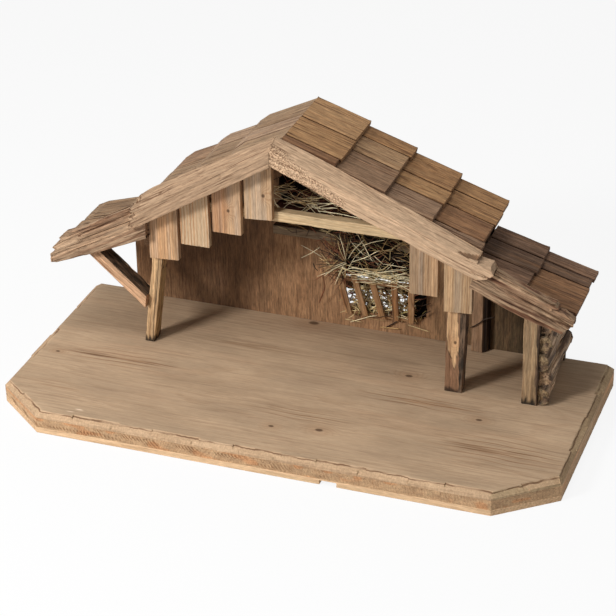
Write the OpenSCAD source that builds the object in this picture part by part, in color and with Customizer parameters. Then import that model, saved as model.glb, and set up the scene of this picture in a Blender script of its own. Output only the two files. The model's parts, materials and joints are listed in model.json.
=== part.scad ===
/* [Base board] */
// Width of the base board
base_w = 650; // [640:1:760]
// Depth of the base board
base_d = 300; // [296:1:400]
// Thickness of the bottom ply
bottom_ply_t = 7; // [5:0.5:10]
// Thickness of the core ply
core_ply_t = 12; // [8:0.5:18]
// Thickness of the top ply
top_ply_t = 8; // [7:0.5:12]
// Length that each cut corner takes from the front edge
corner_w = 63; // [20:1:120]
// Length that each cut corner takes from the side edge
corner_d = 51; // [20:1:90]
// How far the hewn bevel reaches in from the edge
hew_in = 8; // [3:0.5:10]
// How far the hewn bevel reaches down the edge
hew_drop = 6; // [3:0.5:6.5]
// Middle of the cable groove, to the right of the board's middle
groove_x = 82; // [-150:1:200]
// Width of the cable groove
groove_w = 19; // [8:1:30]
// Length of the cable groove, in from the front edge
groove_run = 45; // [20:1:80]
// Depth of the cable groove, up from the underside
groove_t = 5.5; // [4.5:0.5:6]

/* [Main roof] */
// Ridge line, to the right of the board's middle
ridge_x = -30; // [-50:1:-20]
// Height of the right roof board at the ridge, over the base board
ridge_rise = 279.8; // [270:0.1:300]
// Pitch of the right slope in degrees
right_pitch = 24.8; // [23:0.1:26]
// Pitch of the left slope in degrees
left_pitch = 32; // [30:0.1:33]
// Thickness of the roof boards
deck_t = 5; // [3:0.5:7]
// Distance from the ridge to the first butt on the right slope
right_first = 64.6; // [50:0.1:72]
// Distance from the ridge to the first butt on the left slope
left_first = 76.9; // [60:0.1:80]
// Exposed length of a shingle on the right slope
right_gauge = 59.8; // [54:0.1:62]
// Exposed length of a shingle on the left slope
left_gauge = 58; // [52:0.1:60]
// Thickness of a main roof shingle
shingle_t = 6.5; // [4:0.5:7]
// How far a shingle reaches up under the course above
lap = 14.6; // [8:0.1:18]
// Length of the worn bevel at the butt of a left-hand shingle
worn_butt = 15; // [4:0.5:16]

/* [Lean-to roofs] */
// Pitch of both lean-to roofs in degrees
lean_pitch = 21.3; // [20:0.1:22]
// Height of the right lean-to board at its upper edge, over the base board
lean_right_rise = 152.9; // [146:0.1:156]
// Height of the left lean-to board at its upper edge, over the base board
lean_left_rise = 146.2; // [140:0.1:150]
// Distance from the upper edge to the first butt on the right lean-to
lean_right_first = 66; // [60:0.1:70]
// Distance from the upper edge to the first butt on the left lean-to
lean_left_first = 64; // [60:0.1:70]
// Exposed length of a lean-to shingle
lean_gauge = 59.6; // [52:0.1:61]
// Thickness of a lean-to shingle
lean_shingle_t = 5.5; // [4:0.5:6]
// Thickness of the lean-to roof boards
lean_deck_t = 5; // [3:0.5:6]

/* [Frame] */
// Face of the posts behind the middle of the base board
post_face_y = 35.5; // [30:0.5:45]
// Thickness of the hanging front boards
apron_t = 7.5; // [4:0.5:10]
// Depth of the main barge boards
barge_t = 20; // [12:0.5:24]
// Depth of the lean-to barge boards
lean_barge_t = 12; // [8:0.5:16]
// Height of a barge board on the left slope, square to the slope
left_barge_h = 30; // [26:0.5:36]
// Height of a barge board on the right slope, square to the slope
right_barge_h = 26; // [22:0.5:30]
// Height of a lean-to barge board, square to the slope
lean_barge_h = 38; // [30:0.5:42]
// Depth of the left front post
left_post_d = 18.5; // [10:0.5:24]
// Width of the left front post
left_post_w = 13; // [9:0.5:16]
// How far the left front post leans to the right over its free height
left_post_lean = 15.5; // [4:0.5:20]
// Width of the right front post
right_post_w = 22; // [14:0.5:24]
// Depth of the right front posts
right_post_d = 14.5; // [10:0.5:22]
// Width of the outer right post
outer_post_w = 18; // [12:0.5:22]
// Width of the rear post
rear_post_w = 20; // [10:0.5:20]
// Depth of the rear post
rear_post_d = 13; // [8:0.5:16]
// Rafter size, square
rafter_s = 12; // [8:0.5:14]
// Height of the collar beam
collar_h = 12.5; // [8:0.5:18]
// Underside of the collar beam over the base board
collar_rise = 181.5; // [172:0.5:190]
// Width of the brace
brace_w = 13; // [8:0.5:16]
// Depth of the brace
brace_d = 21; // [12:0.5:24]

/* [Walls] */
// Thickness of the back wall
wall_t = 6.5; // [4:0.5:9]
// Left end of the back wall, to the left of the board's middle
wall_left = 265; // [240:1:290]
// Right end of the back wall, to the right of the board's middle
wall_right = 276; // [270:1:290]
// Window width
window_w = 100; // [60:1:106]
// Window height
window_h = 42; // [20:1:44]
// Thickness of a side wall slab
slab_t = 15; // [8:0.5:15]

/* [Hay rack] */
// Width of the hay rack
rack_w = 96; // [70:1:98]
// Length of a rack slat
slat_run = 66; // [50:1:70]
// Width of a rack slat
slat_w = 7.5; // [4:0.5:9]
// Thickness of a rack slat
slat_t = 3; // [2:0.5:4]
// Rail size, square
rail_s = 5; // [4:0.5:6]
// Lean of the rack from upright in degrees
rack_lean = 17.7; // [10:0.1:20]
// Depth of the hay ledge
ledge_d = 20; // [14:0.5:22]
// Height of the hay ledge
ledge_h = 11; // [6:0.5:12]

/* [Screws and pins] */
// Shank diameter of a base screw
screw_d = 3.2; // [2.5:0.1:3.6]
// Length of a base screw
screw_l = 42; // [36:1:46]
// Shank diameter of an apron pin
pin_d = 1.4; // [1:0.1:1.8]
// Length of an apron pin
pin_l = 14; // [11:0.5:16]

/* [Hidden] */

// Courses of shingles and slabs of the side wall
right_courses = 4;
left_courses = 3;
slab_count = 5;

// One overrun for every cut, and the running clearance of screws and pins
cut = 2;
screw_gap = 0.15;
seat_gap = 0.3;

// Heights that everything stands on or hangs from
base_t = bottom_ply_t + core_ply_t + top_ply_t;
ridge_z = base_t + ridge_rise;
left_ridge_z = ridge_z;
front_y = post_face_y - apron_t;
back_y = base_d / 2 - seat_gap;
wall_y = back_y - wall_t;
far = base_w;

// Faces of the posts that the lean-to boards and ledgers meet
right_post_x = 180;
left_post_x = -194;
outer_post_x = 244.5;
rear_post_x = 160;
free_rise = 116;
free_z = base_t + free_rise;
lean_right_z = base_t + lean_right_rise;
lean_left_z = base_t + lean_left_rise;

// Underside of each roof board over any place x
function right_under(x) = ridge_z - (x - ridge_x) * tan(right_pitch) - deck_t / cos(right_pitch);
function left_under(x) = left_ridge_z - (ridge_x - x) * tan(left_pitch) - deck_t / cos(left_pitch);
function lean_right_under(x) =
    lean_right_z - (x - right_post_x) * tan(lean_pitch) - lean_deck_t / cos(lean_pitch);
function lean_left_under(x) =
    lean_left_z - (left_post_x - x) * tan(lean_pitch) - lean_deck_t / cos(lean_pitch);

// A place that runs down the slope along x, with its normal up
module down_right(x0, z0, pitch) {
    translate([x0, 0, z0]) rotate([0, pitch, 0]) children();
}
module down_left(x0, z0, pitch) {
    translate([x0, 0, z0]) mirror([1, 0, 0]) rotate([0, pitch, 0]) children();
}
// An outline drawn in x and z, given its depth from y0 backwards
module upright(y0, depth) {
    translate([0, y0 + depth, 0]) rotate([90, 0, 0]) linear_extrude(depth) children();
}

// Base board of three plies with cut front corners
module base_outline() {
    polygon([[-base_w / 2, base_d / 2], [-base_w / 2, corner_d - base_d / 2],
        [corner_w - base_w / 2, -base_d / 2], [base_w / 2 - corner_w, -base_d / 2],
        [base_w / 2, corner_d - base_d / 2], [base_w / 2, base_d / 2]]);
}
// One hewn facet along an edge from a to b, between two shares of its length
hew_in_shares = [0.9, 0.55, 1, 0.7, 0.95, 0.6, 0.85, 0.65, 1, 0.75, 0.6, 0.9];
hew_drop_shares = [0.75, 1, 0.7, 0.95, 0.65, 1, 0.8, 0.95, 0.7, 1, 0.85, 0.7];
module hewn_edge(a, b, facets, start) {
    run = norm(b - a) / facets;
    turn = atan2(b[1] - a[1], b[0] - a[0]);
    for (i = [0 : facets - 1]) {
        k = (i + start) % len(hew_in_shares);
        deep = hew_in * hew_in_shares[k];
        drop = hew_drop * hew_drop_shares[k];
        place = a + (b - a) * (i + 0.5) / facets;
        translate([place[0], place[1], base_t - drop]) rotate([0, 0, turn])
            rotate([atan2(drop, deep), 0, 0])
            translate([-run * hew_reach_share, -hew_in, 0])
            cube([2 * run * hew_reach_share, 4 * hew_in, 3 * hew_in]);
    }
}
hew_reach_share = 0.58;
front_facets = 11;
side_facets = 4;
corner_facets = 2;
module base_hewing() {
    left_back = [-base_w / 2, base_d / 2];
    left_cut = [-base_w / 2, corner_d - base_d / 2];
    left_front = [corner_w - base_w / 2, -base_d / 2];
    right_front = [base_w / 2 - corner_w, -base_d / 2];
    right_cut = [base_w / 2, corner_d - base_d / 2];
    right_back = [base_w / 2, base_d / 2];
    hewn_edge(left_back, left_cut, side_facets, 0);
    hewn_edge(left_cut, left_front, corner_facets, 3);
    hewn_edge(left_front, right_front, front_facets, 1);
    hewn_edge(right_front, right_cut, corner_facets, 7);
    hewn_edge(right_cut, right_back, side_facets, 5);
}
// Places of the screws that come up through the base board
screw_head_r = screw_d;
screw_head_h = screw_d * 0.75;
screw_sink = 0.5;
post_screw_back = 8;
wall_screw_shares = [0.06, 0.3, 0.7, 0.94];
left_foot_x = left_post_x - left_post_lean;
SCREWS = concat(
    [[left_foot_x + left_post_w / 2, post_face_y + post_screw_back],
     [right_post_x - right_post_w / 2, post_face_y + post_screw_back],
     [outer_post_x + outer_post_w / 2, post_face_y + post_screw_back],
     [rear_post_x + rear_post_w / 2, wall_y - rear_post_d / 2]],
    [for (s = wall_screw_shares) [-wall_left + s * (wall_left + wall_right), wall_y + wall_t / 2]]);
screw_top = screw_sink + screw_l + screw_gap;
module screw_holes() {
    wide = screw_head_r + screw_gap;
    seat = screw_sink + screw_gap;
    for (p = SCREWS) translate([p[0], p[1], 0]) {
        translate([0, 0, -cut]) cylinder(d = screw_d + 2 * screw_gap, h = screw_top + cut, $fn = 32);
        rotate_extrude($fn = 32) polygon([[0, -cut], [wide, -cut], [wide, seat],
            [screw_d / 2 + screw_gap, seat + screw_head_h], [0, seat + screw_head_h]]);
    }
}
module base_screws() {
    color("darkgray") for (p = SCREWS) translate([p[0], p[1], screw_sink]) rotate_extrude($fn = 32)
        polygon([[0, 0], [screw_head_r, 0], [screw_d / 2, screw_head_h],
            [screw_d / 2, screw_l - screw_d], [0, screw_l]]);
}
module base_bottom_ply() {
    color("peru") difference() {
        linear_extrude(bottom_ply_t) base_outline();
        translate([groove_x - groove_w / 2, -base_d / 2 - cut, -cut])
            cube([groove_w, groove_run + cut, groove_t + cut]);
        screw_holes();
    }
}
module base_core_ply() {
    color("burlywood") difference() {
        translate([0, 0, bottom_ply_t]) linear_extrude(core_ply_t) base_outline();
        screw_holes();
    }
}
module base_top_ply() {
    color("tan") difference() {
        translate([0, 0, bottom_ply_t + core_ply_t]) linear_extrude(top_ply_t) base_outline();
        base_hewing();
        screw_holes();
    }
}

// Posts
right_post_taper = 4;
left_post_taper = 1;
module left_post_outline() {
    polygon([[left_foot_x, base_t], [left_foot_x + left_post_w - left_post_taper, base_t],
        [left_post_x + left_post_w, free_z],
        [left_post_x + left_post_w, left_under(left_post_x + left_post_w) - rafter_s / cos(left_pitch)],
        [left_post_x, left_under(left_post_x) - rafter_s / cos(left_pitch)], [left_post_x, free_z]]);
}
module post_front_left() {
    color("rosybrown") difference() {
        upright(post_face_y, left_post_d) left_post_outline();
        screw_holes();
    }
}
module post_front_right() {
    near = right_post_x - right_post_w;
    color("tan") difference() {
        upright(post_face_y, right_post_d) polygon([
            [near - right_post_taper / 2, base_t], [right_post_x - right_post_taper, base_t],
            [right_post_x, free_z - right_post_w],
            [right_post_x, right_under(right_post_x) - rafter_s / cos(right_pitch)],
            [near, right_under(near) - rafter_s / cos(right_pitch)], [near, free_z - right_post_w]]);
        screw_holes();
    }
}
module post_outer_right() {
    color("peru") difference() {
        upright(post_face_y, right_post_d) polygon([
            [outer_post_x, base_t], [outer_post_x + outer_post_w, base_t],
            [outer_post_x + outer_post_w, lean_right_under(outer_post_x + outer_post_w)],
            [outer_post_x, lean_right_under(outer_post_x)]]);
        screw_holes();
    }
}
rear_post_shares = [[0, 0], [0, 0.95], [0.65, 1], [0.9, 0.7], [1, 0]];
module post_rear_right() {
    edge = rear_post_x + rear_post_w;
    color("saddlebrown") difference() {
        intersection() {
            linear_extrude(far) polygon([for (p = rear_post_shares)
                [rear_post_x + p[0] * rear_post_w, wall_y - p[1] * rear_post_d]]);
            upright(wall_y - rear_post_d, rear_post_d) polygon([[rear_post_x, base_t], [edge, base_t],
                [edge, right_under(edge)], [rear_post_x, right_under(rear_post_x)]]);
        }
        screw_holes();
    }
}

// Rafters, ridge beam, collar beam, ledgers and brace
right_deck_run = right_first + (right_courses - 1) * right_gauge - lap / 2;
left_deck_run = left_first + (left_courses - 1) * left_gauge - lap / 2;
module rafter_right() {
    color("saddlebrown") difference() {
        intersection() {
            down_right(ridge_x, ridge_z, right_pitch)
                translate([-rafter_s * 2, post_face_y, -deck_t - rafter_s])
                cube([right_deck_run + rafter_s * 2, rafter_s, rafter_s]);
            translate([ridge_x, 0, 0]) cube([far, base_d, far]);
        }
        pin_holes();
    }
}
module rafter_left() {
    color("saddlebrown") difference() {
        intersection() {
            down_left(ridge_x, left_ridge_z, left_pitch)
                translate([-rafter_s * 2, post_face_y, -deck_t - rafter_s])
                cube([left_deck_run + rafter_s * 2, rafter_s, rafter_s]);
            translate([ridge_x - far, 0, 0]) cube([far, base_d, far]);
        }
        pin_holes();
    }
}
ridge_beam_w = 10;
ridge_beam_drop = 20;
module ridge_beam() {
    low = ridge_z - deck_t - ridge_beam_drop;
    color("saddlebrown") upright(post_face_y + rafter_s, wall_y - post_face_y - rafter_s) polygon([
        [ridge_x - ridge_beam_w / 2, low], [ridge_x + ridge_beam_w / 2, low],
        [ridge_x + ridge_beam_w / 2, right_under(ridge_x + ridge_beam_w / 2)],
        [ridge_x, right_under(ridge_x)], [ridge_x, left_under(ridge_x)],
        [ridge_x - ridge_beam_w / 2, left_under(ridge_x - ridge_beam_w / 2)]]);
}
// Places under a rafter where the underside reaches a height z
function right_reach(z) =
    ridge_x + (right_under(ridge_x) - rafter_s / cos(right_pitch) - z) / tan(right_pitch);
function left_reach(z) =
    ridge_x - (left_under(ridge_x) - rafter_s / cos(left_pitch) - z) / tan(left_pitch);
module collar_beam() {
    low = base_t + collar_rise;
    high = low + collar_h;
    color("wheat") upright(post_face_y, rafter_s) polygon([
        [left_reach(low), low], [right_reach(low), low],
        [right_reach(high), high], [left_reach(high), high]]);
}
ledger_w = 10;
ledger_h = 10;
module ledger_left() {
    edge = left_post_x - ledger_w;
    color("saddlebrown") upright(post_face_y, wall_y - post_face_y) polygon([
        [edge, lean_left_under(edge) - ledger_h], [left_post_x, lean_left_under(edge) - ledger_h],
        [left_post_x, lean_left_under(left_post_x)], [edge, lean_left_under(edge)]]);
}
module ledger_right() {
    edge = right_post_x + ledger_w;
    color("saddlebrown") upright(post_face_y, wall_y - post_face_y) polygon([
        [right_post_x, lean_right_under(edge) - ledger_h], [edge, lean_right_under(edge) - ledger_h],
        [edge, lean_right_under(edge)], [right_post_x, lean_right_under(right_post_x)]]);
}
// Plates that stand on edge in line with the posts and carry the eaves
plate_t = 8;
module eave_plate_left() {
    start = post_face_y + left_post_d;
    edge = left_post_x + plate_t;
    low = lean_left_under(left_post_x - ledger_w) - ledger_h;
    color("saddlebrown") upright(start, wall_y - start) polygon([
        [left_post_x, low], [edge, low], [edge, left_under(edge)], [left_post_x, left_under(left_post_x)]]);
}
module eave_plate_right() {
    start = post_face_y + right_post_d;
    edge = right_post_x - plate_t;
    low = lean_right_under(right_post_x + ledger_w) - ledger_h;
    color("saddlebrown") upright(start, wall_y - rear_post_d - start) polygon([
        [edge, low], [right_post_x, low],
        [right_post_x, right_under(right_post_x)], [edge, right_under(edge)]]);
}
brace_rise = 48.5;
brace_foot_z = base_t + brace_rise;
brace_out = 69;
brace_slope = 41.5;
module brace_left() {
    foot_x = left_foot_x + left_post_lean * (brace_foot_z - base_t) / (free_z - base_t);
    wide = brace_w / cos(brace_slope);
    out_x = foot_x - brace_out;
    out_z = brace_foot_z + brace_out * tan(brace_slope);
    color("sienna") upright(front_y, brace_d) difference() {
        polygon([[foot_x + left_post_w / 2, brace_foot_z - left_post_w / 2 * tan(brace_slope)],
            [foot_x + left_post_w / 2, brace_foot_z + wide - left_post_w / 2 * tan(brace_slope)],
            [out_x, out_z + wide], [out_x - wide, out_z + wide], [out_x, out_z]]);
        left_post_outline();
        polygon([[left_post_x, lean_left_under(left_post_x)],
            [left_post_x - far, lean_left_under(left_post_x - far)],
            [left_post_x - far, far], [left_post_x, far]]);
    }
}

// Back wall with its window, and the slabs of the side wall
window_x = 2;
window_rise = 28;
module back_wall() {
    color("saddlebrown") difference() {
        upright(wall_y, wall_t) difference() {
            polygon([[-wall_left, base_t], [wall_right, base_t], [wall_right, lean_right_under(wall_right)],
                [right_post_x, lean_right_under(right_post_x)], [right_post_x, right_under(right_post_x)],
                [ridge_x, right_under(ridge_x)], [ridge_x, left_under(ridge_x)],
                [left_post_x, left_under(left_post_x)], [left_post_x, lean_left_under(left_post_x)],
                [-wall_left, lean_left_under(-wall_left)]]);
            translate([window_x, base_t + window_rise]) square([window_w, window_h]);
        }
        screw_holes();
    }
}
slab_x = outer_post_x + outer_post_w;
slab_front_shares = [0.02, 0.05, 0, 0.03, 0.06, 0.01];
slab_belly_shares = [0.92, 1, 0.84, 0.96, 0.88, 1];
slab_round_shares = [[0, 0], [0.6, 0], [0.9, 0.2], [1, 0.5], [0.88, 0.82], [0.55, 1], [0, 1]];
slab_wall_h = lean_right_under(slab_x + slab_t) - base_t;
module side_slab(i) {
    high = slab_wall_h / slab_count;
    belly = slab_t * slab_belly_shares[i];
    start = post_face_y + slab_front_shares[i] * (wall_y - post_face_y);
    low = base_t + i * high;
    color("rosybrown") upright(start, wall_y - start)
        polygon([for (p = slab_round_shares) [slab_x + p[0] * belly, low + p[1] * high]]);
}
module side_slab_1() { side_slab(0); }
module side_slab_2() { side_slab(1); }
module side_slab_3() { side_slab(2); }
module side_slab_4() { side_slab(3); }
module side_slab_5() { side_slab(4); }

// Roof boards
roof_run_y = back_y - front_y;
module roof_board_right() {
    color("sienna") intersection() {
        down_right(ridge_x, ridge_z, right_pitch) translate([-deck_t * 2, front_y, -deck_t])
            cube([right_deck_run + deck_t * 2, roof_run_y, deck_t]);
        translate([ridge_x, 0, 0]) cube([far, base_d, far]);
    }
}
module roof_board_left() {
    color("sienna") intersection() {
        down_left(ridge_x, left_ridge_z, left_pitch) translate([-deck_t * 2, front_y, -deck_t])
            cube([left_deck_run + deck_t * 2, roof_run_y, deck_t]);
        translate([ridge_x - far, 0, 0]) cube([far, base_d, far]);
    }
}
lean_right_run = lean_right_first + lean_gauge - lap / 2;
lean_left_run = lean_left_first + lean_gauge - lap / 2;
// Notch in the lean-to roof round the last hanging board
apron_right_out = 8;
module apron_notch() {
    translate([right_post_x - cut, front_y - cut, base_t])
        cube([cut + apron_right_out + seat_gap, cut + apron_t, far]);
}
module lean_board_right() {
    color("sienna") difference() {
        intersection() {
            down_right(right_post_x, lean_right_z, lean_pitch)
                translate([-lean_deck_t, front_y, -lean_deck_t])
                cube([lean_right_run + lean_deck_t, roof_run_y, lean_deck_t]);
            translate([right_post_x, 0, 0]) cube([far, base_d, far]);
        }
        apron_notch();
    }
}
module lean_board_left() {
    color("sienna") intersection() {
        down_left(left_post_x, lean_left_z, lean_pitch) translate([-lean_deck_t, front_y, -lean_deck_t])
            cube([lean_left_run + lean_deck_t, roof_run_y, lean_deck_t]);
        translate([left_post_x - far, 0, 0]) cube([far, base_d, far]);
    }
}

// A course of shingles on a slope, whose butt lies s down from the upper edge.
// Each shingle rests on the course below and on the board at its head.
seam = 0.6;
butt_face_share = 0.45;
module course(s, gauge, thick, run, bevel, seam_shares, drop_shares) {
    tilt = atan2(thick, gauge);
    rest = thick * (gauge + lap) / gauge;
    for (j = [0 : len(seam_shares) - 2]) {
        y0 = front_y + seam_shares[j] * roof_run_y;
        y1 = front_y + seam_shares[j + 1] * roof_run_y - (j < len(seam_shares) - 2 ? seam : 0);
        slip = drop_shares[j] * lap;
        translate([s, 0, rest]) rotate([0, -tilt, 0]) upright(y0, y1 - y0) polygon([[-run, 0], [slip, 0],
            [slip, thick * butt_face_share], [slip - bevel, thick], [-run, thick]]);
    }
}
right_seam_shares = [[0, 0.11, 0.54, 1], [0, 0.455, 0.77, 1], [0, 0.33, 0.6, 1], [0, 0.12, 0.47, 0.76, 1]];
right_drop_shares = [[-0.06, 0.08, 0], [0.05, -0.05, 0.06], [0, 0.06, -0.06], [0.12, -0.04, 0.08, 0]];
module right_course(i) {
    color("tan") intersection() {
        down_right(ridge_x, ridge_z, right_pitch)
            course(right_first + i * right_gauge, right_gauge, shingle_t, right_gauge + lap, seam,
                right_seam_shares[i], right_drop_shares[i]);
        translate([ridge_x, 0, 0]) cube([far, base_d, far]);
    }
}
module right_course_1() { right_course(0); }
module right_course_2() { right_course(1); }
module right_course_3() { right_course(2); }
module right_course_4() { right_course(3); }
left_seam_shares = [[0, 0.34, 0.62, 1], [0, 0.4, 0.7, 1], [0, 0.3, 0.64, 1]];
left_drop_shares = [[-0.1, 0.08, 0], [0.05, -0.12, 0], [0.1, -0.2, -0.3]];
module left_course(i) {
    color("tan") intersection() {
        down_left(ridge_x, left_ridge_z, left_pitch)
            course(left_first + i * left_gauge, left_gauge, shingle_t,
                (i == 0 ? left_first : left_gauge) + lap, worn_butt,
                left_seam_shares[i], left_drop_shares[i]);
        translate([ridge_x - far, 0, 0]) cube([far, base_d, far]);
    }
}
module left_course_1() { left_course(0); }
module left_course_2() { left_course(1); }
module left_course_3() { left_course(2); }
lean_right_seam_shares = [[0, 0.2, 0.455, 0.75, 1], [0, 0.14, 0.655, 0.82, 1]];
lean_right_drop_shares = [[0, -0.1, 0.08, 0], [-0.2, 0.05, -0.06, 0.06]];
module lean_right_course(i) {
    run = i == 0 ? lean_right_first - cut / 2 : lean_gauge + lap;
    color("rosybrown") difference() {
        down_right(right_post_x, lean_right_z, lean_pitch)
            course(lean_right_first + i * lean_gauge, lean_gauge, lean_shingle_t, run, seam,
                lean_right_seam_shares[i], lean_right_drop_shares[i]);
        apron_notch();
    }
}
module lean_right_course_1() { lean_right_course(0); }
module lean_right_course_2() { lean_right_course(1); }
lean_left_seam_shares = [[0, 0.33, 0.66, 1], [0, 0.3, 0.62, 1]];
lean_left_drop_shares = [[0.06, -0.06, 0], [-0.15, 0.1, 0]];
module lean_left_course(i) {
    run = i == 0 ? lean_left_first - cut / 2 : lean_gauge + lap;
    color("rosybrown") down_left(left_post_x, lean_left_z, lean_pitch)
        course(lean_left_first + i * lean_gauge, lean_gauge, lean_shingle_t, run, worn_butt,
            lean_left_seam_shares[i], lean_left_drop_shares[i]);
}
module lean_left_course_1() { lean_left_course(0); }
module lean_left_course_2() { lean_left_course(1); }

// Barge boards. Each outline is drawn down its slope from the apex, in shares of
// its length and height, and the apex ends are cut plumb so that the two meet.
apex_in = 7;
apex_over = 9.7;
apex_x = ridge_x - apex_in;
apex_z = ridge_z + apex_over;
right_barge_pitch = 23.5;
left_barge_pitch = 29.5;
// Each barge runs down to this far past its post
right_barge_past = 45.3;
left_barge_past = 25.8;
right_barge_l = (right_post_x + right_barge_past - apex_x) / cos(right_barge_pitch);
left_barge_l = (apex_x - left_post_x + left_barge_past) / cos(left_barge_pitch);
right_barge_shares = [[-0.1, 0], [0, 0], [0.24, 0.15], [0.46, 0.12], [0.67, 0.05], [0.8, 0.02], [0.9, 0],
    [0.905, -0.22], [0.86, -0.33], [0.955, -0.12], [0.98, -0.35], [0.965, -0.64], [0.93, -0.94],
    [0.78, -1], [0.607, -0.98], [0.393, -1.04], [0.174, -0.98], [0.05, -0.97], [-0.1, -0.98]];
left_barge_shares = [[-0.1, 0], [0, 0], [0.4, 0.02], [0.67, 0.12], [0.8, 0.04], [0.9, -0.02], [0.93, -0.18],
    [0.965, -0.3], [0.955, -0.42], [0.99, -0.55], [0.985, -0.72], [1.02, -0.85], [1.025, -1],
    [0.943, -1.01], [0.664, -0.96], [0.46, -0.88], [0.256, -0.85], [0.064, -0.86], [-0.1, -0.86]];
// The top facet falls from the rear edge to the front face by this share of the height
right_top_fall_share = 0.3;
left_top_fall_share = 0.38;
module barge_outline_right() {
    intersection() {
        translate([apex_x, apex_z]) rotate(-right_barge_pitch)
            polygon([for (p = right_barge_shares) [p[0] * right_barge_l, p[1] * right_barge_h]]);
        translate([apex_x, 0]) square([far, far]);
    }
}
module barge_outline_left() {
    intersection() {
        translate([apex_x, apex_z]) mirror([1, 0]) rotate(-left_barge_pitch)
            polygon([for (p = left_barge_shares) [p[0] * left_barge_l, p[1] * left_barge_h]]);
        translate([apex_x - far, 0]) square([far, far]);
    }
}
// A cutter that takes the top front edge off along the slope
module top_facet(run, fall, depth) {
    translate([-run, -depth, -fall]) rotate([atan2(fall, depth), 0, 0])
        translate([0, -depth, 0]) cube([3 * run, 3 * depth, 3 * depth]);
}
module barge_right() {
    color("tan") difference() {
        upright(front_y - barge_t, barge_t) barge_outline_right();
        translate([apex_x, front_y, apex_z]) rotate([0, right_barge_pitch, 0])
            translate([0, 0, right_barge_h * 0.1])
            top_facet(right_barge_l, right_barge_h * right_top_fall_share, barge_t);
    }
}
module barge_left() {
    color("tan") difference() {
        upright(front_y - barge_t, barge_t) barge_outline_left();
        translate([apex_x, front_y, apex_z]) mirror([1, 0, 0]) rotate([0, left_barge_pitch, 0])
            translate([0, 0, left_barge_h * 0.05])
            top_facet(left_barge_l, left_barge_h * left_top_fall_share, barge_t);
    }
}
lean_barge_pitch = 22;
lean_right_barge_l = 118;
lean_left_barge_l = 137;
lean_right_barge_in = 7;
lean_left_barge_in = 8;
lean_right_barge_drop = 4.9;
lean_left_barge_over = 1.8;
lean_right_barge_shares = [[0, -0.05], [0.18, -0.08], [0.4, -0.1], [0.6, -0.1], [0.79, -0.03], [0.95, 0],
    [0.97, 0.2], [1.02, 0.38], [1, 0.58], [0.88, 0.66], [0.77, 0.6], [0.83, 0.7], [0.77, 0.8],
    [0.65, 0.77], [0.5, 0.8], [0.31, 0.82], [0.13, 0.84], [0, 0.86]];
lean_left_barge_shares = [[0.048, 0], [0.15, 0], [0.4, -0.04], [0.77, -0.04], [0.96, -0.05], [1.016, 0],
    [0.98, 0.28], [0.92, 0.36], [0.94, 0.45], [0.89, 0.54], [0.815, 0.59], [0.835, 0.7], [0.77, 0.79],
    [0.56, 0.81], [0.35, 0.95], [0.06, 1.07], [-0.075, 1.1]];
module lean_barge_right() {
    color("rosybrown") upright(front_y - lean_barge_t, lean_barge_t) difference() {
        translate([right_post_x + lean_right_barge_in, lean_right_z - lean_right_barge_drop])
            rotate(-lean_barge_pitch)
            polygon([for (p = lean_right_barge_shares) [p[0] * lean_right_barge_l, p[1] * lean_barge_h]]);
        barge_outline_right();
    }
}
module lean_barge_left() {
    color("tan") upright(front_y - lean_barge_t, lean_barge_t) difference() {
        translate([left_post_x + lean_left_barge_in, lean_left_z + lean_left_barge_over])
            mirror([1, 0]) rotate(-lean_barge_pitch)
            polygon([for (p = lean_left_barge_shares) [p[0] * lean_left_barge_l, p[1] * lean_barge_h]]);
        barge_outline_left();
    }
}

// Hanging front boards, four on the left and two on the right. Each row holds the
// board's left edge, its width, and its lower end at the left and right edges.
function roof_under(x) = x < ridge_x ? left_under(x) : right_under(x);
apron_pitch = 39.3;
apron_w = 36;
apron_hang = 72;
apron_w_shares = [1, 0.97, 0.97, 0.92, 0.9, 0.9];
apron_hang_shares = [0.91, 0.94, 0.98, 0.975, 1.075, 1.025];
apron_slant_shares = [-0.03, 0, 0, -0.03, -0.01, -0.03];
left_aprons = 4;
last_apron = len(apron_w_shares) - 1;
apron_left_x = left_post_x + seat_gap;
apron_right_x = right_post_x + apron_right_out - apron_w * apron_w_shares[last_apron];
APRONS = [for (i = [0 : last_apron])
    let (x = i < left_aprons ? apron_left_x + i * apron_pitch
            : apron_right_x - (last_apron - i) * apron_pitch,
        w = apron_w * apron_w_shares[i],
        low = roof_under(x + w / 2) - apron_hang * apron_hang_shares[i])
    [x, w, low + apron_slant_shares[i] * apron_hang, low]];
function pin_place(a) = [a[0] + a[1] / 2, roof_under(a[0] + a[1] / 2) - rafter_s * 0.7];
module pin_holes() {
    for (a = APRONS) translate([pin_place(a)[0], front_y - cut, pin_place(a)[1]])
        rotate([-90, 0, 0]) cylinder(d = pin_d + 2 * screw_gap, h = cut + pin_l + screw_gap, $fn = 24);
}
module apron(i) {
    a = APRONS[i];
    color("burlywood") difference() {
        upright(front_y, apron_t) polygon([[a[0], a[2]], [a[0] + a[1], a[3]],
            [a[0] + a[1], roof_under(a[0] + a[1])], [a[0], roof_under(a[0])]]);
        pin_holes();
    }
}
module apron_1() { apron(0); }
module apron_2() { apron(1); }
module apron_3() { apron(2); }
module apron_4() { apron(3); }
module apron_5() { apron(4); }
module apron_6() { apron(5); }
module apron_pins() {
    color("darkgray") for (a = APRONS) translate([pin_place(a)[0], front_y, pin_place(a)[1]])
        rotate([-90, 0, 0]) cylinder(d = pin_d, h = pin_l, $fn = 24);
}

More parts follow.
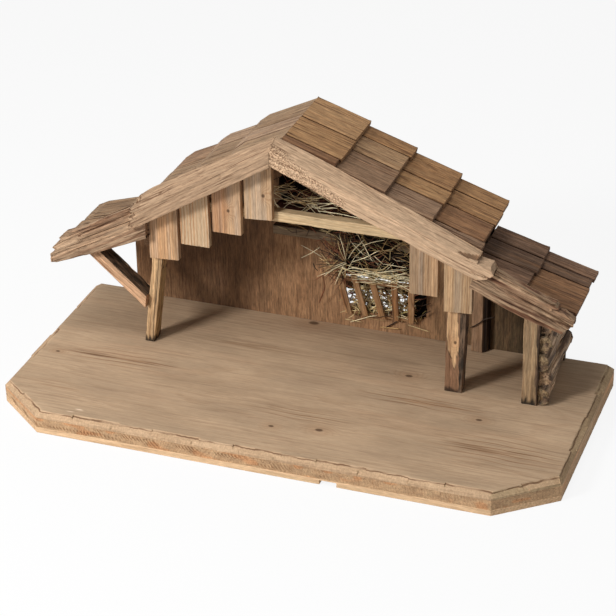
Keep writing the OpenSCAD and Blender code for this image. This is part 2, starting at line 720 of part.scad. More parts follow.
// Hay rack on the wall
rack_rise = 22;
rack_x = 0;
slat_foot_shares = [0.1, 0.31, 0.53, 0.7, 0.89];
slat_head_shares = [0.04, 0.23, 0.45, 0.74, 0.96];
slat_drop = 2;
top_rail_share = 0.82;
module on_rack() {
    translate([rack_x, wall_y, base_t + rack_rise]) rotate([rack_lean, 0, 0]) children();
}
module rack_bottom_rail() {
    start = slat_foot_shares[0] * rack_w;
    end = slat_foot_shares[len(slat_foot_shares) - 1] * rack_w;
    color("sienna") on_rack() translate([start, -rail_s, 0]) cube([end - start, rail_s, rail_s]);
}
module rack_top_rail() {
    color("sienna") on_rack() translate([0, -rail_s, slat_run * top_rail_share])
        cube([rack_w, rail_s, rail_s]);
}
module rack_slats() {
    color("peru") on_rack() for (i = [0 : len(slat_foot_shares) - 1]) {
        foot = slat_foot_shares[i] * rack_w;
        head = slat_head_shares[i] * rack_w;
        translate([foot, -rail_s, slat_drop]) rotate([0, atan2(head - foot, slat_run), 0])
            translate([-slat_w / 2, -slat_t, 0]) cube([slat_w, slat_t, slat_run]);
    }
}
ledge_x = -79;
ledge_w = 191;
ledge_rise = 119;
ledge_z = base_t + ledge_rise;
module hay_ledge() {
    color("dimgray") translate([ledge_x, wall_y - ledge_d, ledge_z]) cube([ledge_w, ledge_d, ledge_h]);
}
// Hay, as plain soft solids that rest in the rack and on the ledge
hay_x = -14;
hay_w = 112;
loft_x = -66;
loft_w = 158;
hay_out = 38;
hay_gap = 1.6;
function rack_spot(y, z) = [wall_y + y * cos(rack_lean) - z * sin(rack_lean),
    base_t + rack_rise + y * sin(rack_lean) + z * cos(rack_lean)];
module along_wall(x0, run) {
    translate([x0, 0, 0]) rotate([90, 0, 90]) linear_extrude(run) children();
}
module rack_hay() {
    back = wall_y - seat_gap;
    tip = rack_spot(-rail_s - slat_t, slat_drop + slat_run);
    rail_top = rack_spot(0, slat_run * top_rail_share + rail_s);
    color("goldenrod") along_wall(hay_x, hay_w) polygon([
        [back, rail_top[1] + seat_gap], [rail_top[0], rail_top[1] + seat_gap],
        [tip[0] + slat_t * 1.4, tip[1] + hay_gap], [tip[0] - slat_t, tip[1] + hay_gap],
        [wall_y - hay_out, tip[1] + hay_out * 0.3], [wall_y - hay_out, ledge_z],
        [wall_y - hay_out * 0.8, ledge_z + ledge_h * 1.8],
        [wall_y - ledge_d - seat_gap, ledge_z + ledge_h * 1.5],
        [wall_y - ledge_d - seat_gap, ledge_z - seat_gap], [back, ledge_z - seat_gap]]);
}
loft_h = 78;
module loft_hay() {
    back = wall_y - seat_gap;
    low = ledge_z + ledge_h + seat_gap;
    color("goldenrod") along_wall(loft_x, loft_w) polygon([
        [back, low], [back, low + loft_h * 0.88], [wall_y - hay_out * 0.25, low + loft_h],
        [wall_y - hay_out * 0.6, low + loft_h * 0.9], [wall_y - hay_out * 0.85, low + loft_h * 0.6],
        [wall_y - hay_out * 0.88, low + loft_h * 0.3], [wall_y - hay_out * 0.82, low + ledge_h],
        [wall_y - ledge_d + seat_gap, low + ledge_h * 0.8], [wall_y - ledge_d + seat_gap, low]]);
}

base_bottom_ply();
base_core_ply();
base_top_ply();
base_screws();
post_front_left();
post_front_right();
post_outer_right();
post_rear_right();
rafter_left();
rafter_right();
ridge_beam();
collar_beam();
ledger_left();
ledger_right();
eave_plate_left();
eave_plate_right();
brace_left();
back_wall();
side_slab_1();
side_slab_2();
side_slab_3();
side_slab_4();
side_slab_5();
roof_board_left();
roof_board_right();
lean_board_left();
lean_board_right();
left_course_1();
left_course_2();
left_course_3();
right_course_1();
right_course_2();
right_course_3();
right_course_4();
lean_left_course_1();
lean_left_course_2();
lean_right_course_1();
lean_right_course_2();
barge_left();
barge_right();
lean_barge_left();
lean_barge_right();
apron_1();
apron_2();
apron_3();
apron_4();
apron_5();
apron_6();
apron_pins();
rack_bottom_rail();
rack_top_rail();
rack_slats();
hay_ledge();
rack_hay();
loft_hay();
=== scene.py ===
"""Dresses the wooden nativity stable: split and hewn timber, bark and hay.

Every wooden node is rebuilt from its own solid: cut into a fine net along its grain, then worn
inwards into grooves, splits and torn ends. Lengths are in metres unless a name says millimetres.
"""
import json
import math
from typing import NamedTuple

import bmesh
import bpy
import numpy as np
from mathutils import Matrix, Vector


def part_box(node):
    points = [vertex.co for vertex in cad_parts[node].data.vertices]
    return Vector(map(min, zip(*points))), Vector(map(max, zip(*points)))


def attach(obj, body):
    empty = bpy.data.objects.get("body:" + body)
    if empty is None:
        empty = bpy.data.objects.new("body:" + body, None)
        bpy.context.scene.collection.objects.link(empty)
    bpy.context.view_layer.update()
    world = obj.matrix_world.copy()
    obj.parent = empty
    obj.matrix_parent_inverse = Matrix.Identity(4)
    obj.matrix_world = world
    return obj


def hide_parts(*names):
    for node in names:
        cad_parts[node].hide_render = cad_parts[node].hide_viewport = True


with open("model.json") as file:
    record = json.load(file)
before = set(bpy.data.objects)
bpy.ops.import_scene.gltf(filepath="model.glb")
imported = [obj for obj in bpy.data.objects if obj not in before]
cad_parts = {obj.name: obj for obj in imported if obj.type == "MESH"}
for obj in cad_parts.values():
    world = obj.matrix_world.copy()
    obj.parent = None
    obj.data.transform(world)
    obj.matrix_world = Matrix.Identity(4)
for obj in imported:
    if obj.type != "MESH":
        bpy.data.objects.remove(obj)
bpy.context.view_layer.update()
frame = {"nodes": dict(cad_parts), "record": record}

MM = 0.001
X_AXIS = Vector((1, 0, 0))
Y_AXIS = Vector((0, 1, 0))
Z_AXIS = Vector((0, 0, 1))

# Camera, found by fitting the solids to the photograph
PHOTO_SIDE = 616
CAMERA_AT = Vector((0.7349, -1.9822, 1.2875))
CAMERA_TURN = math.radians(20.14)
CAMERA_RISE = math.radians(28.81)
CAMERA_ROLL = math.radians(-0.96)
FOCAL_PIXELS = 2174.45
SENSOR = 36.0
VIEW_REACH = 20


def camera_axes():
    """Right, up and back of the camera."""
    back = Vector((math.sin(CAMERA_TURN) * math.cos(CAMERA_RISE),
                   -math.cos(CAMERA_TURN) * math.cos(CAMERA_RISE), math.sin(CAMERA_RISE)))
    right = (-back).cross(Z_AXIS).normalized()
    up = right.cross(-back)
    c, s = math.cos(CAMERA_ROLL), math.sin(CAMERA_ROLL)
    return c * right + s * up, c * up - s * right, back


def at_pixel(px, py, y=None, z=None):
    """The point of a plane y or z = constant that the photograph's pixel (px, py) shows."""
    right, up, back = camera_axes()
    half = PHOTO_SIDE / 2
    ray = right * ((px - half) / FOCAL_PIXELS) + up * ((half - py) / FOCAL_PIXELS) - back
    if y is not None:
        return CAMERA_AT + ray * ((y - CAMERA_AT.y) / ray.y)
    return CAMERA_AT + ray * ((z - CAMERA_AT.z) / ray.z)


def add_object(name, data):
    thing = bpy.data.objects.new(name, data)
    bpy.context.scene.collection.objects.link(thing)
    return thing


def add_camera():
    right, up, back = camera_axes()
    data = bpy.data.cameras.new("camera")
    data.sensor_fit = "HORIZONTAL"
    data.sensor_width = SENSOR
    data.lens = FOCAL_PIXELS / PHOTO_SIDE * SENSOR
    data.clip_end = VIEW_REACH
    camera = add_object("camera", data)
    turn = np.eye(4)
    turn[:3, 0], turn[:3, 1], turn[:3, 2], turn[:3, 3] = right, up, back, CAMERA_AT
    camera.matrix_world = Matrix(turn.tolist())
    bpy.context.scene.camera = camera


# Light and floor
LAMPS = {"key": {"at": Vector((-1.125, -1.67, 1.31)), "side": 0.5, "watts": 44},
         "top": {"at": Vector((-0.2, -0.55, 2.33)), "side": 0.9, "watts": 18}}
LAMP_AIM = Vector((0, 0, 0.1))
SKY = 0.26
FLOOR_SIDE = 16
FLOOR_PAINT = 0.8
# Share of plain white in what a camera sees of the floor
FLOOR_GLOW = 0.88
WHITE = (1, 1, 1, 1)


def add_lamp(name, at, side, watts):
    data = bpy.data.lights.new(name, "AREA")
    data.size = side
    data.energy = watts
    lamp = add_object(name, data)
    lamp.location = at
    lamp.rotation_euler = (LAMP_AIM - at).to_track_quat("-Z", "Y").to_euler()


class Shader:
    """Small helper that builds the node tree of one material or world."""

    def __init__(self, owner):
        owner.use_nodes = True
        self.owner = owner
        self.tree = owner.node_tree
        self.tree.nodes.clear()

    def node(self, kind, inputs=None, **settings):
        n = self.tree.nodes.new(kind)
        for key, value in settings.items():
            setattr(n, key, value)
        for key, value in (inputs or {}).items():
            self.plug(n.inputs[key], value)
        return n

    def plug(self, socket, value):
        if isinstance(value, bpy.types.NodeSocket):
            self.tree.links.new(value, socket)
        else:
            socket.default_value = value

    def math(self, operation, a, b=0.0, clamp=False):
        return self.node("ShaderNodeMath", {0: a, 1: b}, operation=operation, use_clamp=clamp).outputs[0]

    def times(self, a, b):
        return self.math("MULTIPLY", a, b)

    def fold(self, x):
        """How far x lies from one half."""
        return self.math("ABSOLUTE", self.math("SUBTRACT", x, 0.5))

    def vector(self, operation, a, b):
        return self.node("ShaderNodeVectorMath", {0: a, 1: b}, operation=operation).outputs[0]

    def length(self, a):
        return self.node("ShaderNodeVectorMath", {0: a}, operation="LENGTH").outputs["Value"]

    def noise(self, where, scale, detail=2.0, rough=0.5, output="Fac"):
        inputs = {"Vector": self.vector("MULTIPLY", where, scale), "Scale": 1.0, "Detail": detail,
                  "Roughness": rough}
        return self.node("ShaderNodeTexNoise", inputs).outputs[output]

    def span(self, x, low, high, to_low=0.0, to_high=1.0, kind="SMOOTHSTEP"):
        inputs = {"Value": x, "From Min": low, "From Max": high, "To Min": to_low, "To Max": to_high}
        return self.node("ShaderNodeMapRange", inputs, interpolation_type=kind).outputs["Result"]

    def mix(self, fac, a, b, blend="MIX"):
        n = self.node("ShaderNodeMix", {0: fac, 6: a, 7: b}, data_type="RGBA", blend_type=blend)
        return n.outputs[2]

    def shade(self, fac, colour, factor):
        """The colour, multiplied by factor where fac is 1."""
        return self.mix(fac, colour, self.mix(1.0, colour, factor, "MULTIPLY"))

    def lit(self, colour, light):
        """The colour, multiplied by one number."""
        light = self.node("ShaderNodeCombineColor", {0: light, 1: light, 2: light}).outputs[0]
        return self.mix(1.0, colour, light, "MULTIPLY")

    def attribute(self, name, output):
        n = self.node("ShaderNodeAttribute", attribute_name=name, attribute_type="GEOMETRY")
        return n.outputs[output]

    def place(self):
        return self.node("ShaderNodeTexCoord").outputs["Object"]

    def over(self, fac, below, above, output):
        """Ends the tree with two shaders, the second where fac is 1."""
        both = self.node("ShaderNodeMixShader", {0: fac, 1: below.outputs[0], 2: above.outputs[0]})
        self.node(output, {0: both.outputs[0]})

    def surface(self, inputs):
        """Ends the tree with a Principled surface and returns the material."""
        shader = self.node("ShaderNodeBsdfPrincipled", inputs)
        self.node("ShaderNodeOutputMaterial", {0: shader.outputs[0]})
        return self.owner


def seen_ray(s):
    """1 for rays that show the background: from the camera, a reflection or through glass."""
    path = s.node("ShaderNodeLightPath")
    total = path.outputs["Is Camera Ray"]
    for name in ("Is Glossy Ray", "Is Transmission Ray"):
        total = s.math("MAXIMUM", total, path.outputs[name])
    return total


def add_sky():
    world = bpy.data.worlds.new("studio")
    s = Shader(world)
    light = s.node("ShaderNodeBackground", {"Color": WHITE, "Strength": SKY})
    white = s.node("ShaderNodeBackground", {"Color": WHITE, "Strength": 1})
    s.over(seen_ray(s), light, white, "ShaderNodeOutputWorld")
    bpy.context.scene.world = world


def add_floor():
    """A pale floor that a camera sees near white, with the object's shadow kept faint on it."""
    s = Shader(bpy.data.materials.new("floor"))
    paint = s.node("ShaderNodeBsdfDiffuse", {"Color": grey(FLOOR_PAINT)})
    glow = s.node("ShaderNodeEmission", {"Color": WHITE})
    s.over(s.times(seen_ray(s), FLOOR_GLOW), paint, glow, "ShaderNodeOutputMaterial")
    mesh = bpy.data.meshes.new("floor")
    h = FLOOR_SIDE / 2
    mesh.from_pydata([(-h, -h, 0), (h, -h, 0), (h, h, 0), (-h, h, 0)], [], [(0, 1, 2, 3)])
    mesh.materials.append(s.owner)
    add_object("floor", mesh)


# Seeded noise on numpy points
def lattice(cell, seed):
    """A number from 0 to 1 for each whole-number cell (n, 3), the same every run."""
    c = cell.astype(np.int64)
    h = (c[:, 0] * 73856093) ^ (c[:, 1] * 19349663) ^ (c[:, 2] * 83492791) ^ (seed * 2654435761)
    h &= 0xFFFFFFFF
    h ^= h >> 13
    h = (h * 1274126177) & 0xFFFFFFFF
    h ^= h >> 16
    return (h & 0xFFFF) / 65535.0


def noise(p, seed):
    """Smooth value noise from -1 to 1."""
    cell = np.floor(p)
    f = p - cell
    f = f * f * (3 - 2 * f)
    total = np.zeros(len(p))
    for corner in range(8):
        step = np.array([corner & 1, corner >> 1 & 1, corner >> 2 & 1])
        weight = np.prod(np.where(step, f, 1 - f), axis=1)
        total += weight * lattice(cell + step, seed)
    return total * 2 - 1


def fractal(p, seed, octaves=3):
    total, size = np.zeros(len(p)), 1.0
    for k in range(octaves):
        total += size * noise(p * 2 ** k, seed + 17 * k)
        size /= 2
    return total / 1.5


def smooth(a, b, x):
    t = np.clip((x - a) / (b - a), 0, 1)
    return t * t * (3 - 2 * t)


# Colours of the pieces, as 0 to 255 display values
PAINT = {
    "pale": (205, 178, 144), "greige": (190, 162, 131), "wheat": (208, 182, 142),
    "pink_tan": (199, 163, 130), "golden": (166, 126, 86), "tan": (176, 142, 106),
    "grey_tan": (168, 140, 114), "grey_brown": (154, 124, 98), "orange": (168, 120, 78),
    "brown": (146, 108, 76), "purple_brown": (134, 104, 82), "dark_brown": (112, 82, 60),
    "oak": (142, 108, 78), "bark": (116, 92, 72), "ledge": (128, 110, 88),
    "slat": (170, 132, 95), "yellow_ply": (224, 188, 148), "core": (204, 170, 132),
    "left_roof": (154, 127, 99), "lean_brown": (114, 88, 68), "frame": (150, 118, 88),
    "barge": (168, 139, 111), "lean_barge": (162, 134, 106), "apex": (195, 164, 133),
    "slab": (206, 176, 144), "rear_tan": (176, 136, 94), "umber": (136, 99, 69),
    "honey": (186, 146, 104), "stone": (147, 116, 89), "post": (205, 170, 128),
    "outer_post": (166, 139, 106), "right_post": (182, 149, 118), "light_greige": (198, 169, 139),
}


def linear(rgb):
    c = np.array(rgb) / 255.0
    return np.where(c <= 0.04045, c / 12.92, ((c + 0.055) / 1.055) ** 2.4)


def rgb(name):
    return (*linear(PAINT[name]), 1.0)


def grey(v):
    return (v, v, v, 1.0)


# Factors of the wood's colour: in lines, in hollows (dirt and painted shade), where it is soiled, on end
# grain and on chisel dots
LINE_SHADE = (0.3, 0.22, 0.17, 1)
HOLLOW_DIRT_AND_SHADE = (0.34, 0.26, 0.2, 1)
SOIL_SHADE = (0.66, 0.6, 0.55, 1)
END_SHADE = (0.5, 0.4, 0.32, 1)
DOT_SHADE = (0.34, 0.25, 0.19, 1)
FIGURE_SHADE = (0.6, 0.48, 0.38, 1)
# Spacing of the lines of a strong figure, and how far they wave
FIGURE_PITCH = 8.5 * MM
FIGURE_WAVE = 16 * MM
BUMP_DEPTH = 0.4 * MM


def wood(name, slot=None, ring=2.4, rings=0.5, late_wood=(0.62, 0.5, 0.4), streak=0.4, fibre=0.5,
         crack=0.6, knots=(), stains=(), bark_grain=(45, 260, 260), warm="orange", cool="grey_brown",
         wander=0.004, patch=(6, 140, 140), soil=0.3, grit=0.5, rim=None, stipple=None, figure=(),
         roughness=0.78, bump=0.35):
    """Sawn or split softwood: its material and its slot, which has the material's name if none is given.

    ring is the width of a year's growth in mm; most others are strengths. rim is the height where a flat
    top meets a hewn edge, stipple is (start, end, reach) of chisel marks, and figure holds the (middle,
    reach) of places where fine grain lines stand out.
    """
    s = Shader(bpy.data.materials.new(name))
    grain = s.attribute("grain", "Vector")
    tone = s.attribute("tone", "Color")
    marks = s.node("ShaderNodeSeparateColor", {"Color": s.attribute("marks", "Color")})
    hollow, end, bark = marks.outputs[0], marks.outputs[1], marks.outputs[2]
    place = s.place()
    place_x_y_z = s.node("ShaderNodeSeparateXYZ", {"Vector": place}).outputs

    def away_from(at, reach):
        """Distance from a point, in shares of the reach along X, Y and Z."""
        return s.length(s.vector("DIVIDE", s.vector("SUBTRACT", place, tuple(at)), reach))

    # Knots: a dark round heart, with the rings drawn round it
    knot_mark, swirl = 0.0, 0.0
    for at, radius, stretch in knots:
        away = s.math("DIVIDE", away_from(at, stretch), radius)
        knot_mark = s.math("MAXIMUM", s.span(away, 1.15, 0.55), knot_mark)
        swirl = s.math("MAXIMUM", s.span(away, 5.5, 0.8), swirl)

    # Growth rings round a pith that wanders along the piece
    drift = s.vector("SUBTRACT", s.noise(grain, (5, 16, 16), output="Color"), (0.5, 0.5, 0.5))
    drift = s.vector("MULTIPLY", drift, (0, wander * 4, wander * 6))
    across = s.vector("MULTIPLY", s.vector("ADD", grain, drift), (0.02, 1, 1))
    year = s.math("DIVIDE", s.length(across), ring * MM)
    if knots:
        year = s.math("ADD", year, s.times(swirl, 3.0))
    year = s.math("ADD", year, s.times(s.noise(grain, (9, 260, 260)), 0.7))
    season = s.math("FRACT", year)
    late = s.times(s.span(season, 0.25, 0.86), s.span(season, 1.0, 0.9))
    change = s.noise(grain, (4, 60, 60), 1.0)
    late = s.times(late, s.span(change, 0.3, 0.7, 0.35, 1.0))
    colour = s.shade(s.times(late, rings), tone, (*late_wood, 1))
    if figure:
        along = s.math("ADD", place_x_y_z[1], s.times(s.noise(place, (9, 14, 0)), FIGURE_WAVE))
        line = s.span(s.fold(s.math("FRACT", s.math("DIVIDE", along, FIGURE_PITCH))), 0.15, 0.03)
    for at, reach in figure:
        mark = s.times(line, s.span(away_from(at, reach), 1.0, 0.3, 0.0, 0.9))
        colour = s.shade(mark, colour, FIGURE_SHADE)

    # Stains that the photograph shows, broad warm and cool streaks, then fine fibres
    feather = s.span(s.noise(grain, (14, 320, 320), 2.0, 0.6), 0.4, 0.62)
    for at, reach, factor in stains:
        colour = s.shade(s.times(s.span(away_from(at, reach), 1.0, 0.2), feather), colour, (*factor, 1))
    broad = s.noise(grain, patch, 3.0, 0.6)
    colour = s.mix(s.span(broad, 0.52, 0.75, 0, streak), colour, s.mix(0.5, colour, rgb(warm)))
    colour = s.mix(s.span(broad, 0.47, 0.28, 0, streak), colour, s.mix(0.5, colour, rgb(cool)))
    fine = s.noise(grain, (14, 380, 380), 4.0, 0.7)
    colour = s.lit(colour, s.span(fine, 0.3, 0.7, 1 - 0.5 * fibre, 1 + 0.42 * fibre, "LINEAR"))
    speck = s.noise(grain, (100, 640, 640), 3.0, 0.65)
    colour = s.lit(colour, s.span(speck, 0.3, 0.7, 1 - 0.42 * grit, 1 + 0.34 * grit, "LINEAR"))

    # Dark hair cracks and pores along the grain, then dirt and painted shade in the hollows, and dirt on the
    # faces and on end grain
    hair = s.span(s.noise(grain, (11, 420, 420), 2.0, 0.6), 0.58, 0.68)
    fissure = s.span(s.fold(s.noise(grain, (5, 150, 150), 1.0)), 0.014, 0.003)
    fissure = s.times(fissure, s.span(s.noise(grain, (16, 60, 60), 1.0), 0.42, 0.6))
    thread = s.span(s.fold(s.noise(grain, (8, 300, 300), 1.0)), 0.022, 0.006)
    thread = s.times(thread, s.span(change, 0.4, 0.62, 0.1, 0.8))
    hair = s.math("MAXIMUM", s.math("MAXIMUM", hair, fissure), thread)
    hair = s.math("MULTIPLY", hair, crack, clamp=True)
    colour = s.shade(hair, colour, LINE_SHADE)
    deep = s.span(hollow, 0.45, 1.0, 0, 0.8)
    colour = s.shade(deep, colour, HOLLOW_DIRT_AND_SHADE)
    smudge = s.noise(grain, (14, 40, 40), 3.0, 0.6)
    colour = s.shade(s.span(smudge, 0.45, 0.72, 0, soil), colour, SOIL_SHADE)
    colour = s.shade(s.times(end, 0.35), colour, END_SHADE)

    # The broken dark line and the rough cuts where a flat top meets its hewn edge
    if rim:
        wave = s.span(s.noise(place, (70, 70, 0)), 0.3, 0.7, -0.4 * MM, 0.2 * MM)
        height = s.math("SUBTRACT", place_x_y_z[2], wave)
        line = s.span(height, rim, rim - 0.3 * MM)
        line = s.times(line, s.span(height, rim - 1.4 * MM, rim - 0.9 * MM))
        broken = s.span(s.noise(place, (40, 40, 0)), 0.35, 0.55, 0.35, 0.9)
        cuts = s.span(s.noise(place, (520, 520, 80), 3.0, 0.7), 0.38, 0.66)
        cuts = s.mix(cuts, (0.86, 0.83, 0.8, 1), (1.1, 1.08, 1.06, 1))
        colour = s.shade(s.span(height, rim - 0.4 * MM, rim - 1.0 * MM), colour, cuts)
        colour = s.shade(s.times(line, broken), colour, LINE_SHADE)

    # Dots and pale flecks of a chisel, within a reach of the line from start
    dots = 0.0
    if stipple:
        start, line, reach = stipple[0], stipple[1] - stipple[0], stipple[2]
        from_start = s.vector("SUBTRACT", place, tuple(start))
        along = s.node("ShaderNodeVectorMath", {0: from_start, 1: tuple(line)}, operation="DOT_PRODUCT")
        along = s.math("DIVIDE", along.outputs["Value"], line.length_squared, clamp=True)
        along = s.node("ShaderNodeCombineXYZ", {0: along, 1: along, 2: along}).outputs[0]
        off = s.vector("SUBTRACT", from_start, s.vector("MULTIPLY", along, tuple(line)))
        away = s.math("DIVIDE", s.length(off), reach)
        inside = s.span(s.math("ADD", away, s.span(broad, 0.3, 0.7, -0.25, 0.25)), 1.0, 0.7)
        dots = s.noise(place, (720, 90, 820), 1.5)
        flecks = s.times(s.span(dots, 0.45, 0.36), inside)
        dots = s.times(s.span(dots, 0.5, 0.58), inside)
        colour = s.shade(s.times(flecks, 0.7), colour, grey(1.5))
        colour = s.shade(s.times(dots, 0.75), colour, DOT_SHADE)
    if knots:
        colour = s.shade(s.times(swirl, 0.25), colour, (0.75, 0.55, 0.4, 1))
        colour = s.mix(s.times(knot_mark, 0.85), colour, (0.07, 0.035, 0.018, 1))

    # Bark, where the piece has kept it
    rough_bark = s.noise(grain, bark_grain, 4.0, 0.65)
    bark_tone = s.mix(s.span(rough_bark, 0.35, 0.65), (0.02, 0.014, 0.009, 1), rgb("bark"))
    bark_tone = s.mix(s.span(rough_bark, 0.62, 0.72), bark_tone, rgb("grey_tan"))
    # Near black deep in the bark's hollows: dirt and painted shade
    bark_tone = s.mix(s.times(deep, 0.9), bark_tone, (0.012, 0.008, 0.006, 1))
    edge = s.math("ADD", bark, s.times(s.math("SUBTRACT", rough_bark, 0.5), 0.8))
    colour = s.mix(s.span(edge, 0.42, 0.58), colour, bark_tone)

    # Relief too fine for the mesh
    height = s.math("ADD", s.times(fine, 0.5), s.times(hair, -0.8))
    height = s.math("ADD", height, s.times(late, 0.25))
    height = s.math("ADD", height, s.times(speck, 0.5 * grit))
    height = s.math("SUBTRACT", height, s.times(dots, 0.9))
    normal = s.node("ShaderNodeBump", {"Height": height, "Strength": bump, "Distance": BUMP_DEPTH})
    shine = s.span(fine, 0.2, 0.8, roughness + 0.1, roughness - 0.08)
    return s.surface({"Base Color": colour, "Roughness": shine, "Normal": normal.outputs[0],
                      "Specular IOR Level": 0.3}), slot or name


def steel(name):
    s = Shader(bpy.data.materials.new(name))
    worn = s.noise(s.place(), (900, 900, 200), 3.0)
    colour = s.mix(worn, (0.32, 0.31, 0.3, 1), (0.62, 0.61, 0.6, 1))
    shine = s.span(worn, 0.3, 0.7, 0.25, 0.5)
    return s.surface({"Base Color": colour, "Metallic": 1.0, "Roughness": shine})


def straw(name, sheen):
    """Dry stems: each one has its own tone, with lighter and darker stretches along it."""
    s = Shader(bpy.data.materials.new(name))
    patch = s.noise(s.place(), (160, 160, 160))
    colour = s.lit(s.attribute("tone", "Color"), s.span(patch, 0.3, 0.7, 0.7, 1.2))
    return s.surface({"Base Color": colour, "Roughness": s.span(patch, 0.3, 0.7, 0.5, 0.75),
                      "Specular IOR Level": sheen})


# Rebuilding a wooden node as worn timber
WELD = 2e-6                        # points of a solid closer than this are one
WELD_CUTS = 2e-5                   # and so are points of the net
FLAT = math.radians(2)             # triangles that meet at less are one face
CREASE = math.radians(25)          # edges sharper than this are rounded
SHADE_CREASE = math.radians(38)    # and edges of the worn form sharper than this look sharp
SHORTEST = 4 * MM                  # shorter edges aren't rounded
JITTER = 0.3                       # how unevenly the net is spaced


def solids(node):
    """The node's separate solids as bmeshes of their true faces, from front to back, then left to right."""
    whole = bmesh.new()
    whole.from_mesh(node.data)
    bmesh.ops.remove_doubles(whole, verts=whole.verts, dist=WELD)
    bmesh.ops.dissolve_limit(whole, angle_limit=FLAT, verts=whole.verts, edges=whole.edges)
    whole.verts.ensure_lookup_table()
    group, groups = {}, 0
    for start in whole.verts:
        if start.index in group:
            continue
        todo = [start]
        group[start.index] = groups
        while todo:
            for edge in todo.pop().link_edges:
                for v in edge.verts:
                    if v.index not in group:
                        group[v.index] = groups
                        todo.append(v)
        groups += 1
    found = []
    for g in range(groups):
        part = whole.copy()
        part.verts.ensure_lookup_table()
        spare = [v for v in part.verts if group[v.index] != g]
        bmesh.ops.delete(part, geom=spare, context="VERTS")
        centre = sum((v.co for v in part.verts), Vector()) / max(1, len(part.verts))
        found.append((round(centre.y, 4), round(centre.x, 4), round(centre.z, 4), part))
    whole.free()
    found.sort(key=lambda row: row[:3])
    return [row[3] for row in found]


def grain_axes(part, grain):
    """Along the grain, across it in the widest face, and out of that face."""
    out = max(part.faces, key=lambda f: f.calc_area()).normal.copy()
    if grain == "down":
        return Y_AXIS.cross(out).normalized(), Y_AXIS.copy(), out
    if grain == "long":
        co = np.array([v.co[:] for v in part.verts])
        along = Vector(np.linalg.svd(co - co.mean(0), full_matrices=False)[2][0])
    else:
        along = {"x": X_AXIS, "y": Y_AXIS, "z": Z_AXIS}[grain]
    out = out - along * out.dot(along)
    if out.length < 0.3:
        out = max((X_AXIS, Y_AXIS, Z_AXIS), key=lambda a: (a - along * a.dot(along)).length)
        out = out - along * out.dot(along)
    out.normalize()
    return along, out.cross(along).normalized(), out


def soften(part, width):
    """Rounds the long sharp edges."""
    edges = [e for e in part.edges if len(e.link_faces) == 2 and e.calc_length() > SHORTEST
             and e.calc_face_angle(0) > CREASE]
    if edges:
        bmesh.ops.bevel(part, geom=edges, offset=width, segments=2, profile=0.6, affect="EDGES",
                        clamp_overlap=True)


def net(part, axes, steps, rng):
    """Cuts the faces along planes square to each axis, so that they can be worn in detail."""
    for axis, step in zip(axes, steps):
        reach = [v.co.dot(axis) for v in part.verts]
        low, high = min(reach), max(reach)
        count = int(round((high - low) / step))
        for k in range(1, count):
            at = low + (k + JITTER * (rng.random() - 0.5)) * (high - low) / count
            bmesh.ops.bisect_plane(part, geom=part.verts[:] + part.edges[:] + part.faces[:], dist=1e-7,
                                   plane_co=axis * at, plane_no=axis)


# How each kind of piece is worn. Depths and spacings are in mm.
class Wear(NamedTuple):
    grain: str               # direction of the fibres: an axis, down the slope, or the long way
    steps: tuple             # net spacing along, across and through
    groove: float = 0.4      # depth of the grooves along the grain
    run: float = 45.0        # length of a groove
    gap: float = 2.6         # spacing of the grooves
    split: float = 0.0       # depth of the rare deep splits
    torn: float = 0.6        # how far fibres break short at the ends
    bevel: float = 0.6       # rounding of the edges
    chip: float = 0.0        # depth of shallow dents
    edge_chip: float = 0.5   # extra wear on the edges
    seam: float = 0.0        # how far the two long edges are worn back and darkened
    # How far the tree's pith lies across and below the piece
    pith: tuple = ((-18, 18), (18, 46))


WORN = {
    "base": Wear("x", (4, 3, 1.5), groove=0.12, run=60, gap=6, torn=0.3, bevel=0.4, edge_chip=0.3,
                 pith=((-60, 60), (70, 100))),
    "core": Wear("y", (30, 1.0, 1.2), groove=0.3, run=10, gap=3, torn=0.8, bevel=0.3),
    "post": Wear("long", (2.6, 1.2, 1.2), groove=0.5, run=35, gap=2.4, split=0.8, torn=0.5, bevel=0.8,
                 chip=0.5),
    "beam": Wear("long", (8, 3, 3), groove=0.3),
    "collar": Wear("x", (4, 1.5, 1.5), groove=0.35, bevel=0.8, chip=0.4),
    "board": Wear("down", (10, 8, 3), groove=0.2, bevel=0.4),
    "wall": Wear("z", (6, 1.8, 4), groove=0.22, run=40, gap=2.2, torn=0.3, bevel=0.4),
    "slab": Wear("y", (3, 1.3, 1.3), groove=1.0, run=60, gap=2.2, split=1.6, torn=3.2, bevel=0.5, chip=1.4),
    "shingle": Wear("down", (4, 1.2, 2.2), groove=0.5, run=38, gap=2.1, split=0.7, torn=0.9, bevel=0.4,
                    seam=0.9),
    "barge": Wear("long", (2.2, 1.1, 1.5), groove=0.5, run=50, gap=2.0, split=0.7, torn=1.2, bevel=0.8,
                  chip=0.5),
    "old_barge": Wear("long", (2.0, 1.0, 1.5), groove=0.9, run=60, gap=2.4, split=2.2, torn=3.2, bevel=0.5,
                      chip=0.8),
    "apron": Wear("z", (3, 1.2, 2.4), groove=0.45, run=60, torn=1.0, bevel=0.5, edge_chip=0.3,
                  pith=((40, 90), (-8, 12))),
    "slat": Wear("long", (3, 1, 1.2), groove=0.2, bevel=0.3, torn=0.8, edge_chip=0.1),
    "rail": Wear("x", (4, 1.5, 1.5), groove=0.3, bevel=0.5),
}
WORN["scalloped"] = WORN["apron"]._replace(steps=(2, 1.0, 2.4), groove=0.5, torn=2.4)
WORN["torn_barge"] = WORN["barge"]._replace(steps=(1.6, 1.0, 1.5), torn=2.2, bevel=0.4, chip=0.4)


